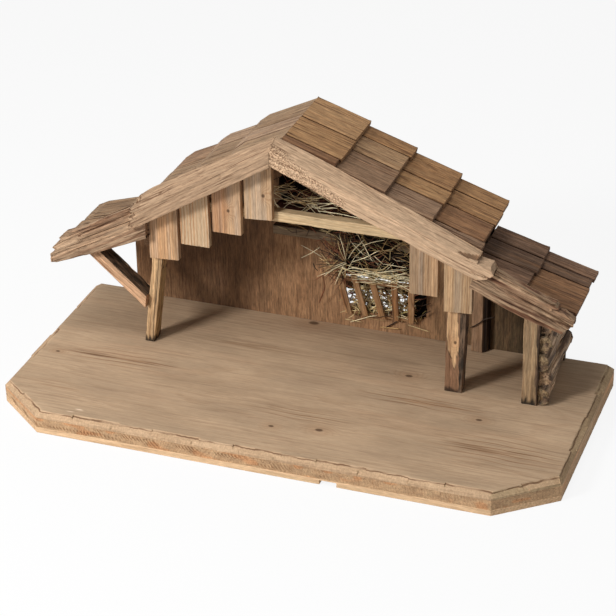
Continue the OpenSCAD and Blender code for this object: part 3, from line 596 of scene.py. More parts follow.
def wear_points(co, normal, sharp, axes, wear, seed, offset, extra):
    """Moves points inwards and returns them with how hollow and how much of an end each one is."""
    u, v, w = (np.array(a) for a in axes)
    q = np.stack([co @ u, co @ v, co @ w], 1) / MM + offset
    facing = normal @ u
    end = smooth(0.45, 0.85, np.abs(facing))
    long_grain = np.array([1 / wear.run, 1 / wear.gap, 1 / wear.gap])
    groove = np.clip(0.45 + 0.85 * fractal(q * long_grain, seed), 0, 1) ** 1.6
    line = np.abs(noise(q * [0.4 / wear.run, 1 / 8, 1 / 8], seed + 5))
    split = smooth(0.13, 0.0, line) * smooth(-0.1, 0.3, noise(q * [1 / 45, 1 / 13, 1 / 13], seed + 7))
    chip = smooth(0.1, 0.7, noise(q * [1 / 14, 1 / 7, 1 / 7], seed + 9))
    worn_edge = np.clip(sharp * 4, 0, 1) * (0.5 + 0.5 * noise(q * [1 / 9, 1 / 5, 1 / 5], seed + 11))
    depth = wear.groove * groove + wear.split * split + wear.edge_chip * worn_edge
    if "pits" in extra:
        depth = depth + extra["pits"](co, normal)
    fibre = 0.5 + 0.5 * noise(q * [0, 1 / 1.3, 1 / 1.3], seed + 21)
    bundle = 0.5 + 0.5 * noise(q * [0, 1 / 6.0, 1 / 6.0], seed + 23)
    short = wear.torn * (0.5 * fibre + 0.8 * bundle)
    across = co @ v / MM
    seam = smooth(1.9, 0.6, np.minimum(across - across.min(), across.max() - across)) if wear.seam else 0.0
    hidden = wear.chip * chip + (extra["carve"](co, normal) if "carve" in extra else 0.0)
    moved = co - normal * ((depth + wear.seam * seam + hidden) * (1 - end) * MM)[:, None]
    moved -= u * (np.sign(facing) * short * end * MM)[:, None]
    hollow = np.clip((depth - 0.35 * wear.groove) / max(0.3, wear.groove + 0.6 * wear.split), 0, 1)
    return moved, np.maximum(hollow * (1 - end), seam), end, q


def add_piece(name, points, faces, layers, material, slot, replaced=None, crease=None):
    """A mesh object that rides on the root. layers holds a row for each point under each layer's name."""
    mesh = bpy.data.meshes.new(name)
    mesh.from_pydata(np.concatenate(points).tolist(), [], faces)
    if crease:
        mesh.validate()
    mesh.polygons.foreach_set("use_smooth", [True] * len(mesh.polygons))
    if crease:
        mesh.set_sharp_from_angle(angle=crease)
    for key, rows in layers.items():
        kind, field = ("FLOAT_VECTOR", "vector") if key == "grain" else ("FLOAT_COLOR", "color")
        layer = mesh.attributes.new(key, kind, "POINT")
        layer.data.foreach_set(field, np.concatenate(rows).ravel())
    mesh.materials.append(material)
    piece = add_object(name, mesh)
    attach(piece, "root")
    if replaced:
        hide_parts(replaced)


def rebuild(name, kind, tones, timber, **extra):
    """Replaces one wooden node by its worn form. tones has a word for the colour of each solid in turn.

    timber is what wood() gives. extra may hold functions of the points and normals: pits and carve give
    more wear in mm, dark or not, bark from 0 to 1, and tint a factor for the colour. warp(points) moves
    the worn points.
    """
    wear = WORN[kind]
    tones = tones.split()
    low, high = (np.array(corner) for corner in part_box(name))
    base_seed = sum((k + 1) * ord(c) for k, c in enumerate(name))
    points, faces, layers = [], [], {"grain": [], "tone": [], "marks": []}
    count = 0
    for index, part in enumerate(solids(frame["nodes"][name])):
        seed = base_seed + 31 * index
        rng = np.random.default_rng(seed)
        axes = grain_axes(part, wear.grain)
        soften(part, wear.bevel * MM)
        net(part, axes, [s * MM for s in wear.steps], rng)
        bmesh.ops.remove_doubles(part, verts=part.verts, dist=WELD_CUTS)
        part.normal_update()
        part.verts.ensure_lookup_table()
        part.verts.index_update()
        co = np.array([p.co[:] for p in part.verts])
        normal = np.array([p.normal[:] for p in part.verts])
        sharp = np.array([1 - min((p.normal.dot(f.normal) for f in p.link_faces), default=1)
                          for p in part.verts])
        centre = np.array([co.mean(0) @ np.array(a) for a in axes]) / MM
        pith = [rng.uniform(*wear.pith[0]), rng.uniform(*wear.pith[1])]
        offset = np.array([rng.uniform(-900, 900), *pith]) - centre
        moved, hollow, end, q = wear_points(co, normal, sharp, axes, wear, seed, offset, extra)
        if "warp" in extra:
            moved = extra["warp"](moved)
        ones = np.ones(len(co))
        bark = extra["bark"](co, normal) if "bark" in extra else 0 * ones
        paint = linear(PAINT[tones[index % len(tones)]]) * (1 + 0.08 * (rng.random() - 0.5))
        tone = np.outer(ones, paint)
        if "tint" in extra:
            tone = tone * extra["tint"](co, normal)
        points.append(np.clip(moved, low, high))
        layers["grain"].append(q * MM)
        layers["tone"].append(np.column_stack([tone, ones]))
        layers["marks"].append(np.column_stack([hollow, end, bark, ones]))
        faces += [[v.index + count for v in f.verts] for f in part.faces]
        count += len(co)
        part.free()
    add_piece(name + "_worn", points, faces, layers, *timber, name, SHADE_CREASE)


# Places on the pieces, most of them found at pixels of the photograph
BASE_TOP_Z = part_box("base_top_ply")[1].z
BASE_RIM_Z = BASE_TOP_Z - 0.5 * MM
WALL_FACE_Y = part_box("back_wall")[0].y
SLAB_FRONT_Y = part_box("side_slab_3")[0].y
SLAB_INNER_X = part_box("side_slab_3")[0].x
SLAB_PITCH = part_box("side_slab_2")[0].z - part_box("side_slab_1")[0].z
# Chisel marks run along the lower half of the right barge board from the apex
BARGE_FACE_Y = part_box("barge_right")[0].y
APEX_START = at_pixel(270, 156, y=BARGE_FACE_Y)
APEX_END = at_pixel(336, 203, y=BARGE_FACE_Y)
APEX_REACH = 13 * MM


def knots_on(stretch, rows, **plane):
    """Knots as (point, radius in metres, stretch along X, Y, Z), from rows of (px, py, radius in mm)."""
    return [(at_pixel(px, py, **plane), r * MM, stretch) for px, py, r in rows]


BASE_KNOTS = knots_on((1.6, 1, 1), [(314, 323, 4.5), (271, 426, 2.2), (319, 430, 3.2), (409, 376, 3.0),
                                    (479, 420, 2.6), (58, 351, 1.8)], z=BASE_TOP_Z)
APRON_KNOTS = knots_on((1, 1, 1.2), [(228, 211, 2.1), (263, 196, 2.2)], y=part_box("apron_1")[0].y)
TONGUE_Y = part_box("post_front_right")[0].y
TONGUE_KNOT = knots_on((1, 1, 1.3), [(455, 343, 2.2)], y=TONGUE_Y)
# Long stains and two pale chips of the base, as (middle in the photo, reach along X, Y and perhaps Z in
# metres, colour factor)
BASE_STAINS = [((88, 352), (0.05, 0.007), (0.55, 0.47, 0.42)), ((110, 357), (0.1, 0.004), (0.68, 0.6, 0.54)),
               ((155, 364), (0.05, 0.005), (0.6, 0.52, 0.47)),
               ((430, 404), (0.055, 0.006), (0.82, 0.6, 0.42)),
               ((492, 450), (0.07, 0.014), (0.62, 0.54, 0.48)),
               ((250, 345), (0.09, 0.012), (0.75, 0.68, 0.62)),
               ((60, 385), (0.05, 0.012), (0.8, 0.72, 0.66)),
               ((70, 411), (0.007, 0.003, 0.003), (1.9, 2.1, 2.4)),
               ((79, 410), (0.007, 0.003, 0.003), (1.9, 2.1, 2.4))]
BASE_STAINS = [(at_pixel(*pixel, z=BASE_TOP_Z), (*reach, 0.004)[:3], factor)
               for pixel, reach, factor in BASE_STAINS]
# Strong grain lines of the base, as (middle, reach)
BASE_FIGURE = [(at_pixel(*pixel, z=BASE_TOP_Z), (*reach, 0.01)) for pixel, reach in (
    ((500, 452), (0.1, 0.045)), ((120, 358), (0.09, 0.03)), ((420, 402), (0.1, 0.02)),
    ((300, 415), (0.08, 0.02)))]


# Marks that single pieces carry, as functions of their points and normals
SAME = math.inf  # size of a spot along which the noise doesn't change
PLAIN = (1, 1, 1)


def spots(co, size, seed, kind=noise):
    """Noise in spots of about size (x, y, z) in mm."""
    return kind(co / MM * (1 / np.array(size)), seed)


def share(co, name, axis):
    """How far across the node's box each point lies, from 0 to 1, along one axis."""
    low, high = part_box(name)
    return (co[:, axis] - low[axis]) / (high[axis] - low[axis])


def foot(co, height):
    """1 where a post stands on the base, fading out raggedly at height mm."""
    ragged = spots(co, (2.5, 2.5, 30), 71)
    return smooth(height, 0.35 * height, (co[:, 2] - BASE_TOP_Z) / MM + 0.45 * height * ragged)


def blend(share_of, low, high):
    """Colour factors from low to high."""
    return np.outer(1 - share_of, low) + np.outer(share_of, high)


def beside(p, start, line):
    """How far along a line each point lies, from 0 to 1, and how far from it."""
    along = np.clip((p - start) @ line / (line @ line), 0, 1)
    return along, np.linalg.norm(p - start - along[:, None] * line, axis=1)


def peeled_tongue(co):
    """1 on the pale tongue of the front right post where the bark is gone."""
    # Its left and right edges and their height in the photo, from its lower tip up
    rows = [(454, 454.6, 370), (451, 456, 358), (447, 458.5, 349), (446, 458.5, 335), (446.5, 458, 312)]
    left, right = ([at_pixel(row[edge], row[2], y=TONGUE_Y) for row in rows]
                   for edge in (0, 1))
    z = [p.z for p in left]
    inside = np.minimum(co[:, 0] - np.interp(co[:, 2], z, [p.x for p in left]),
                        np.interp(co[:, 2], z, [p.x for p in right]) - co[:, 0])
    inside = inside + 0.7 * MM * spots(co, (10, 10, 6), 83)
    return smooth(-0.4 * MM, 0.5 * MM, inside) * (co[:, 2] > z[0])


def right_post_bark(co, normal):
    strip = smooth(0.62, 0.74, share(co, "post_front_right", 0) + 0.05 * spots(co, (10, 10, 9), 91))
    return np.where(smooth(-0.3, -0.8, normal[:, 1]) > 0.5, strip * (1 - peeled_tongue(co)),
                    smooth(0.2, 0.6, normal[:, 0]) * 0.9)


def right_post_tint(co, normal):
    tongue = peeled_tongue(co) * smooth(-0.3, -0.8, normal[:, 1])
    outline = 4 * tongue * (1 - tongue)
    light = (1 - 0.92 * outline) * (1 - 0.8 * foot(co, 7))
    return light[:, None] * blend(tongue, (0.52, 0.44, 0.4), (1.32, 1.3, 1.16))


def right_post_carve(co, normal):
    return 0.8 * peeled_tongue(co)


def left_post_bark(co, normal):
    """Flecks of bark on the upper half of the right side."""
    flecks = smooth(0.1, 0.3, spots(co, (3, 3, 5), 95))
    return flecks * smooth(0.4, 0.65, share(co, "post_front_left", 2)) * smooth(0.3, 0.6, normal[:, 0])


def left_post_tint(co, normal):
    """A dark line down the front, near its right edge, and a darker side."""
    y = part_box("post_front_left")[0].y
    top, low = at_pixel(158.5, 262, y=y), at_pixel(153, 334, y=y)
    line = top.x + (co[:, 2] - top.z) * (low.x - top.x) / (low.z - top.z)
    away = np.abs((co[:, 0] - line) / MM + 0.8 * spots(co, (9, 9, 12), 97))
    side = smooth(0.4, 0.8, normal[:, 0])
    light = 1 - 0.7 * smooth(1.3, 0.4, away) * (1 - side)
    return post_tint(co, normal) * light[:, None] * blend(side, PLAIN, (0.84, 0.87, 0.82))


def post_tint(co, normal):
    streak = 0.22 * spots(co, (2.6, 2.6, 45), 99)
    return ((1 + streak) * (1 - 0.92 * foot(co, 10)))[:, None]


def board_tint(co, normal):
    """Golden and grey stripes down a hanging board."""
    stripe = smooth(-0.35, 0.35, spots(co, (3.6, SAME, 150), 155))
    light = 1 + 0.2 * spots(co, (2.6, SAME, 90), 157)
    return light[:, None] * blend(stripe, (1.05, 1.0, 0.9), (0.95, 0.99, 1.03))


def two_tone(name, start, stop, left, right):
    """A tint: the stripes of a hanging board, with one factor at its left and another at its right."""
    def tint(co, normal):
        return board_tint(co, normal) * blend(smooth(start, stop, share(co, name, 0)), left, right)
    return tint


def outer_post_bark(co, normal):
    across = share(co, "post_outer_right", 0) + 0.07 * spots(co, (10, 10, 12), 93)
    return np.maximum(smooth(0.82, 0.92, across), smooth(0.4, 0.8, normal[:, 0]))


def painted_shade_side(co, normal):
    """The right side of the rear post, turned away from the key light, is painted almost black as shade."""
    return blend(smooth(0.25, 0.5, normal[:, 0]), PLAIN, (0.07, 0.06, 0.06))


def brace_bark(co, normal):
    return smooth(0.2, 0.5, normal[:, 2]) * 0.75


def brace_tone_and_roof_shadow(co, normal):
    # The rear of its upper face is painted almost black: painted shadow of the roof, over its bark
    rear = smooth(0.45, 0.62, share(co, "brace_left", 1)) * smooth(0.1, 0.4, normal[:, 2])
    return blend(rear, (1.05, 1, 0.97), (0.07, 0.06, 0.06))


def wall_stain_and_shade(co, normal):
    """The wall's own blotchy stain, with painted shade at the left and right and painted light in the
    middle.
    """
    left, middle = (at_pixel(px, 280, y=WALL_FACE_Y).x for px in (225, 300))
    far = at_pixel(540, 340, y=WALL_FACE_Y).x
    # Painted shade at the left, where the aprons and roof shade the wall, and towards the right under the
    # lean-to roof; painted light in the middle under the collar and on a slice at the far left
    light = smooth(left, middle, co[:, 0]) * smooth(far, middle + 0.1, co[:, 0])
    light = np.maximum(light, smooth(left - 0.05, left - 0.09, co[:, 0]))
    blotch = spots(co, (14, 1, 22), 151, fractal)
    blotch = 1 + 0.22 * blotch - 0.3 * smooth(0.25, 0.6, blotch)
    # Darker olive at the right: partly the wall's own colour, partly painted shade under the lean-to roof
    olive = blend(smooth(middle + 0.12, far, co[:, 0]), PLAIN, (0.5, 0.62, 0.6))
    return blotch[:, None] * blend(light, (0.56, 0.52, 0.48), (1.28, 1.28, 1.26)) * olive


def slab_bark(co, normal):
    return 0.4 + 0.4 * spots(co, (5, 34, 5), 101)


def slab_tint(co, normal):
    """Streaked, and darker at the front ends and in the joints between two slabs."""
    wave = 0.1 * spots(co, (9, 22, 9), 105)
    joint = np.abs(((co[:, 2] - BASE_TOP_Z) / SLAB_PITCH + wave) % 1 - 0.5)
    front = smooth(8, 1, (co[:, 1] - SLAB_FRONT_Y) / MM + 3 * spots(co, (4, SAME, 4), 103))
    streak = 0.3 * spots(co, (3.5, 50, 3.5), 107)
    light = (1 + streak) * (1 - 0.6 * smooth(0.4, 0.5, joint)) * (1 - 0.35 * front)
    return light[:, None] * blend(front, PLAIN, (0.8, 0.84, 0.74))


def slab_carve(co, normal):
    """Hollows that keep the slabs from looking like round logs."""
    return 1.5 * smooth(-0.2, 0.7, spots(co, (12, 30, 6), 109))


def set_back(co, amount):
    """Moves what lies beyond the slabs' inner face back towards it, by a share of its distance."""
    beyond = np.clip(co[:, 0] - SLAB_INNER_X, 0, None)
    return co - np.outer(amount * beyond, X_AXIS)


def rear_taper(co):
    """The lowest slab stands out less at the rear."""
    back = smooth(SLAB_FRONT_Y, WALL_FACE_Y, co[:, 1])
    low = smooth(BASE_TOP_Z + 1.05 * SLAB_PITCH, BASE_TOP_Z + 0.6 * SLAB_PITCH, co[:, 2])
    return set_back(co, 0.62 * back * low)


def wall_end(co):
    """The end of the wall stays behind the slabs."""
    return set_back(co, 0.6)


def hewn(co, normal):
    """Rough cuts of the hewn edge of the base, in mm of depth."""
    edge = smooth(0.998, 0.95, normal[:, 2]) * (normal[:, 2] > -0.5)
    return edge * (0.4 + 0.6 * spots(co, (8, 8, 3), 131))


def base_tint(co, normal):
    """A rough pale hewn edge, weathered on the right, and a mottled top like the photograph's."""
    edge = smooth(0.998, 0.97, normal[:, 2])
    mottle = 0.16 * spots(co, (70, 28, SAME), 133, fractal) * (1 - edge)
    rough = 0.13 * spots(co, (14, 14, 3), 135, fractal) * edge
    weather = blend(smooth(0.2, 0.5, normal[:, 0]) * edge, PLAIN, (0.95, 1.0, 0.96))
    return (1 + mottle + rough)[:, None] * blend(edge, (0.9, 0.9, 0.91), (1.02, 1.0, 0.98)) * weather


def core_tint(co, normal):
    """Dark slanting dashes of end grain and orange patches in the middle ply."""
    x, y, z = (co / MM).T
    along = x + y
    flat = np.stack([along, z, 0 * z], 1)
    patch = noise(flat / (16, 5, 1), 141)
    dash = smooth(-0.6, 0.8, np.sin(2 * math.pi * (along + 0.8 * z) / 4.2 + 4 * patch))
    dashes = dash * smooth(-0.05, 0.4, patch) * smooth(6, 3, np.abs(z - 13.5)) * smooth(190, -60, x)
    warm = blend(smooth(0.25, 0.6, noise(flat / (17, 6, 1), 143)), (0.98, 0.98, 0.98), (1.05, 0.86, 0.74))
    light = 1 + 0.22 * fractal(flat / (9, 2.5, 1), 145)
    return light[:, None] * blend(dashes, PLAIN, (0.5, 0.42, 0.34)) * warm


def red_streaks(co, normal):
    """Dark red streaks along the barge board of the right lean-to."""
    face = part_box("lean_barge_right")[0].y
    start, stop = (np.array(at_pixel(*pixel, y=face)) for pixel in ((497, 279), (566, 312)))
    along = (stop - start) / np.linalg.norm(stop - start)
    across = np.cross(along, Y_AXIS)
    q = np.stack([co @ along / 60, co @ across / 2.4, co[:, 1] / 8], 1) / MM
    return blend(smooth(0.0, 0.5, noise(q, 171)), (1.08, 1.08, 1.08), (0.42, 0.28, 0.23))


def apex_pits(co, normal):
    """Chisel marks near the apex of the right barge, in mm of depth."""
    away = beside(co, np.array(APEX_START), np.array(APEX_END - APEX_START))[1] / APEX_REACH
    return 0.35 * smooth(0.0, 0.5, spots(co, (3.2, 9, 2.6), 111)) * smooth(1.0, 0.7, away)


def barge_end_pits(co, normal):
    """The rough crosscut of the left barge's lower end, in mm of depth."""
    from_end = (co[:, 0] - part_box("barge_left")[0].x) / MM
    return 1.5 * smooth(0.0, 0.45, spots(co, (3.2, 9, 1.5), 121)) * smooth(20, 8, from_end)


def split_lines(name, lines, deep=3.2):
    """Splits of a barge board, deep mm deep, between pairs of photo pixels."""
    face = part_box(name)[0].y
    ends = [[np.array(at_pixel(*pixel, y=face))[[0, 2]] / MM for pixel in pair] for pair in lines]

    def pits(co, normal):
        depth = np.zeros(len(co))
        for start, stop in ends:
            along, off = beside(co[:, [0, 2]] / MM, start, stop - start)
            off = off + 0.7 * spots(co, (14, 1, 14), 161)
            depth = np.maximum(depth, deep * smooth(1.5, 0.4, off) * smooth(0, 0.6, along))
        return depth * smooth(0.2, -0.4, normal[:, 1])
    return pits


def all_wood():
    base = wood("base_wood", ring=5.5, rings=0.24, streak=0.55, fibre=0.18, crack=0.24, knots=BASE_KNOTS,
                stains=BASE_STAINS, wander=0.008, patch=(5, 30, 30), soil=0.2, grit=0.2, rim=BASE_RIM_Z,
                figure=BASE_FIGURE, warm="pink_tan", cool="grey_tan", bump=0.2)
    ply = wood("ply_wood", "base_wood", ring=3.0, rings=0.4, streak=0.6, fibre=0.3, crack=0.4, cool="wheat")
    barge = wood("barge_wood", ring=2.6, rings=0.35, crack=0.9, soil=0.2, grit=0.65, warm="pink_tan")
    apex = wood("apex_wood", "barge_wood", ring=2.6, rings=0.35, crack=0.7, soil=0.2, grit=0.65,
                stipple=(APEX_START, APEX_END, APEX_REACH), warm="pink_tan")
    old = wood("old_barge_wood", "barge_wood", ring=4.2, rings=0.9, late_wood=(0.48, 0.34, 0.27),
               streak=0.9, fibre=1.1, crack=1.0, grit=0.9, warm="pink_tan", cool="dark_brown")
    shingle = wood("shingle_wood", ring=3.4, rings=0.4, streak=0.7, fibre=0.6, crack=0.9, grit=0.9,
                   cool="dark_brown")
    lean_shingle = wood("lean_shingle_wood", ring=3.8, rings=0.75, streak=0.8, fibre=0.8, crack=1.0,
                        grit=1.0, cool="dark_brown")
    pale = wood("pale_wood", ring=2.8, rings=0.65, late_wood=(0.66, 0.5, 0.38), streak=0.5, fibre=0.4,
                crack=0.4, knots=APRON_KNOTS, cool="grey_tan", wander=0.002, soil=0.15)
    striped = wood("striped_wood", "pale_wood", ring=3.8, rings=1.0, late_wood=(0.68, 0.42, 0.26),
                   fibre=0.4, crack=0.4, cool="wheat", soil=0.08)
    post = wood("post_wood", ring=2.6, streak=0.6, fibre=0.7, crack=0.8, grit=0.7)
    tongue = wood("tongue_post_wood", "post_wood", ring=2.6, rings=0.3, streak=0.5, grit=0.7,
                  knots=TONGUE_KNOT)
    wall = wood("wall_wood", ring=3.0, rings=0.3, streak=0.8, crack=0.4, grit=1.1, soil=0.6,
                patch=(14, 110, 110), warm="brown", cool="dark_brown", roughness=0.7)
    slab = wood("bark", ring=2.2, rings=0.6, streak=0.7, fibre=1.0, crack=1.0, grit=1.0,
                bark_grain=(22, 260, 260))
    framing = wood("frame_wood", ring=3.0, fibre=0.4, crack=0.4)
    rack = wood("rack_wood", ring=3.2, rings=0.8, late_wood=(0.55, 0.4, 0.32), streak=0.9, fibre=0.8,
                crack=0.8)
    ledge = wood("ledge_wood", ring=2.0, streak=0.6, fibre=0.9, crack=0.9)

    rebuild("base_top_ply", "base", "greige", base, tint=base_tint, carve=hewn)
    rebuild("base_core_ply", "core", "core", ply, tint=core_tint)
    rebuild("base_bottom_ply", "base", "yellow_ply", ply)
    rebuild("post_front_left", "post", "post", post, bark=left_post_bark, tint=left_post_tint)
    rebuild("post_front_right", "post", "right_post", tongue, bark=right_post_bark, tint=right_post_tint,
            carve=right_post_carve)
    rebuild("post_outer_right", "post", "outer_post", post, bark=outer_post_bark, tint=post_tint)
    rebuild("post_rear_right", "post", "stone", post, tint=painted_shade_side)
    rebuild("brace_left", "post", "pink_tan", post, bark=brace_bark, tint=brace_tone_and_roof_shadow)
    for name in ("rafter_left", "rafter_right", "ridge_beam", "ledger_left", "ledger_right",
                 "eave_plate_left", "eave_plate_right"):
        rebuild(name, "beam", "frame", framing)
    for name in ("roof_board_left", "roof_board_right", "lean_board_left", "lean_board_right"):
        rebuild(name, "board", "frame", framing)
    rebuild("collar_beam", "collar", "wheat", pale)
    rebuild("back_wall", "wall", "oak", wall, tint=wall_stain_and_shade, warp=wall_end)
    for k in range(1, 6):
        rebuild(f"side_slab_{k}", "slab", "slab", slab, bark=slab_bark, tint=slab_tint, carve=slab_carve,
                warp=rear_taper)
    for name, tones in {
            "right_course_1": "umber rear_tan honey",
            "right_course_2": "stone tan golden",
            "right_course_3": "grey_brown rear_tan golden",
            "right_course_4": "grey_brown brown golden golden",
            "left_course_1": "left_roof grey_tan left_roof",
            "left_course_2": "left_roof left_roof grey_tan",
            "left_course_3": "stone left_roof stone"}.items():
        rebuild(name, "shingle", tones, shingle)
    for name, tones in {
            "lean_left_course_1": "left_roof",
            "lean_left_course_2": "left_roof",
            "lean_right_course_1": "lean_brown purple_brown",
            "lean_right_course_2": "purple_brown brown lean_brown"}.items():
        rebuild(name, "shingle", tones, lean_shingle)
    end_splits = split_lines("barge_right", [((452, 250), (479, 262)), ((462, 271), (495, 281))], 2.8)
    rebuild("barge_right", "torn_barge", "apex", apex,
            pits=lambda co, normal: np.maximum(apex_pits(co, normal), end_splits(co, normal)))
    rebuild("barge_left", "barge", "barge", barge, pits=barge_end_pits)
    rebuild("lean_barge_left", "old_barge", "barge", old)
    rebuild("lean_barge_right", "old_barge", "lean_barge", old, tint=red_streaks,
            pits=split_lines("lean_barge_right", [((497, 279), (566, 312)), ((482, 277), (572, 328)),
                                                  ((522, 308), (575, 331)), ((526, 294), (552, 304))]))
    # The first board is greyer on the right, the third orange on the left, the fifth cream on the right
    greyer = two_tone("apron_1", 0.45, 0.75, (1.06, 1.04, 1.0), (0.95, 0.98, 0.99))
    orange = two_tone("apron_3", 0.45, 0.62, (0.9, 0.81, 0.75), (0.98, 1.04, 1.1))
    cream = two_tone("apron_5", 0.35, 0.75, (0.93, 0.97, 0.99), (1.16, 1.16, 1.12))
    rebuild("apron_1", "scalloped", "pink_tan", pale, tint=greyer)
    rebuild("apron_2", "scalloped", "pale", striped)
    rebuild("apron_3", "apron", "pink_tan", pale, tint=orange)
    rebuild("apron_4", "apron", "light_greige", pale, tint=board_tint)
    rebuild("apron_5", "apron", "grey_tan", pale, tint=cream)
    rebuild("apron_6", "apron", "greige", pale, tint=board_tint)
    for name in ("rack_bottom_rail", "rack_top_rail"):
        rebuild(name, "rail", "slat", rack)
    rebuild("rack_slats", "slat", "slat", rack, tint=board_tint)
    rebuild("hay_ledge", "rail", "ledge", ledge)


def screws_and_pins():
    metal = steel("steel")
    for name in ("base_screws", "apron_pins"):
        materials = frame["nodes"][name].data.materials
        materials.clear()
        materials.append(metal)


# Hay: thin bent stems over dark lumps of packed hay and of near-black painted shade
# The near-black tone of the lumps is painted shade deep inside the hay
STRAW = {"cream": (246, 232, 192), "pale": (224, 200, 148), "tan": (188, 152, 102), "olive": (146, 132, 82),
         "red": (128, 76, 50), "dark": (60, 42, 28), "russet": (64, 38, 30), "shade_black": (14, 10, 8)}
RACK_MIX = (("cream", 0.16), ("pale", 0.24), ("tan", 0.26), ("olive", 0.1), ("red", 0.1), ("dark", 0.14))
BAND_MIX = (("cream", 0.36), ("pale", 0.32), ("tan", 0.14), ("olive", 0.12), ("red", 0.06))
LOFT_MIX = (("cream", 0.62), ("pale", 0.24), ("tan", 0.06), ("red", 0.04), ("dark", 0.04))
TUFT_MIX = (("pale", 0.12), ("tan", 0.2), ("red", 0.36), ("dark", 0.32))
DEEP_MIX = (("pale", 0.04), ("tan", 0.2), ("olive", 0.1), ("red", 0.22), ("dark", 0.44))
# A stem has this many sides and this share of its thickness at its tips, and a straw this many rings
SIDES = 4
TIP = 0.45
RINGS = 6
# A stem's section is drawn square to itself and to this direction
ASKEW = (0.31, 0.2, 0.93)
# Low and high corner of the opening in the back wall, in mm
WINDOW = next(o["box_m"] for o in frame["record"]["physics"]["openings"] if o["name"] == "window")
WINDOW = [[v / MM for v in corner] for corner in WINDOW]


class Bundle:
    """Collects stems and lumps into one mesh, with a tone for each."""

    def __init__(self, seed):
        self.rng = np.random.default_rng(seed)
        self.points, self.faces, self.tones, self.count = [], [], [], 0

    def add(self, points, faces, tone):
        self.points.append(points)
        self.faces += [[k + self.count for k in f] for f in faces]
        self.tones.append(np.tile([*linear(tone), 1.0], (len(points), 1)))
        self.count += len(points)

    def stem(self, path, radius, tone):
        """A tube along path (n, 3), thinner at its tips."""
        path = np.array(path, dtype=float)
        ahead = np.gradient(path, axis=0)
        ahead /= np.linalg.norm(ahead, axis=1)[:, None] + 1e-12
        aside = np.cross(ahead, ASKEW)
        aside /= np.linalg.norm(aside, axis=1)[:, None] + 1e-12
        above = np.cross(ahead, aside)
        rings = []
        last = len(path) - 1
        for k, p in enumerate(path):
            thick = radius * (TIP if k in (0, last) else 1.0)
            turns = [2 * math.pi * j / SIDES for j in range(SIDES)]
            rings.append([p + thick * (math.cos(a) * aside[k] + math.sin(a) * above[k]) for a in turns])
        faces = [[at + j, at + (j + 1) % SIDES, at + SIDES + (j + 1) % SIDES, at + SIDES + j]
                 for at in range(0, last * SIDES, SIDES) for j in range(SIDES)]
        faces += [list(range(SIDES))[::-1], [last * SIDES + j for j in range(SIDES)]]
        self.add(np.concatenate(rings), faces, np.array(tone) * self.rng.uniform(0.82, 1.08))

    def straw(self, middle, heading, length, tone, radius, bend):
        """One bent straw through middle; sizes in mm."""
        heading = np.array(heading, dtype=float)
        heading /= np.linalg.norm(heading)
        sag = np.cross(heading, self.rng.normal(size=3))
        sag *= bend * length / (np.linalg.norm(sag) + 1e-9)
        t = np.linspace(0, 1, RINGS)[:, None]
        kink = self.rng.uniform(0.3, 0.7)
        sag = sag * (np.minimum(t / kink, (1 - t) / (1 - kink)) - 0.5)
        self.stem((np.array(middle) + heading * (t - 0.5) * length + sag) * MM, radius * MM, STRAW[tone])

    def laid(self, points, radius, tone, rings=8):
        """A smooth stem through a few points; sizes in mm."""
        points = np.array(points)
        at = np.linspace(0, len(points) - 1, rings)
        path = np.stack([np.interp(at, range(len(points)), points[:, k]) for k in range(3)], 1)
        self.stem(path * MM, radius * MM, STRAW[tone])

    def pick(self, mix):
        return self.rng.choice([m[0] for m in mix], p=[m[1] for m in mix])

    def scatter(self, count, low, high, lengths, mix, lean, radius=(0.3, 0.55), depth=0.3):
        """Straws at random in the box from low to high; sizes in mm.

        They lean from level by about lean degrees, and from the wall by about depth of their length.
        """
        for _ in range(count):
            middle = self.rng.uniform(low, high)
            turn = math.radians(self.rng.normal(0, lean))
            heading = (math.cos(turn), self.rng.normal(0, depth), math.sin(turn))
            length = self.rng.uniform(*lengths)
            reach = abs(heading[1]) * length / 2
            middle[1] = min(middle[1], WALL_FACE_Y / MM - 1 - reach)
            self.straw(middle, heading, length, self.pick(mix), self.rng.uniform(*radius),
                       self.rng.uniform(0.03, 0.2))

    def lump(self, centre, half, tone, seed, rough=0.22):
        """A dark core of packed hay, painted shade when its tone is near black: a ball pressed towards a
        box, roughened by noise.
        """
        ball = bmesh.new()
        bmesh.ops.create_icosphere(ball, subdivisions=4, radius=1)
        p = np.array([v.co[:] for v in ball.verts])
        faces = [[v.index for v in f.verts] for f in ball.faces]
        ball.free()
        box = np.sign(p) * np.abs(p) ** 0.7
        swell = 0.86 + rough * fractal(p * 4.5, seed, 4) * 0.6
        self.add((centre + box * swell[:, None] * half) * MM, faces, STRAW[tone])

    def piece(self, name, material, replaced=None):
        add_piece(name, self.points, self.faces, {"tone": self.tones}, material, "hay", replaced)


def by_pixels(*pixels, y):
    """Points in mm behind the photograph's pixels, at depths y in mm, one for each or one for all."""
    depths = y if isinstance(y, (list, tuple)) else [y] * len(pixels)
    return [np.array(at_pixel(px, py, y=d * MM)) / MM for (px, py), d in zip(pixels, depths)]


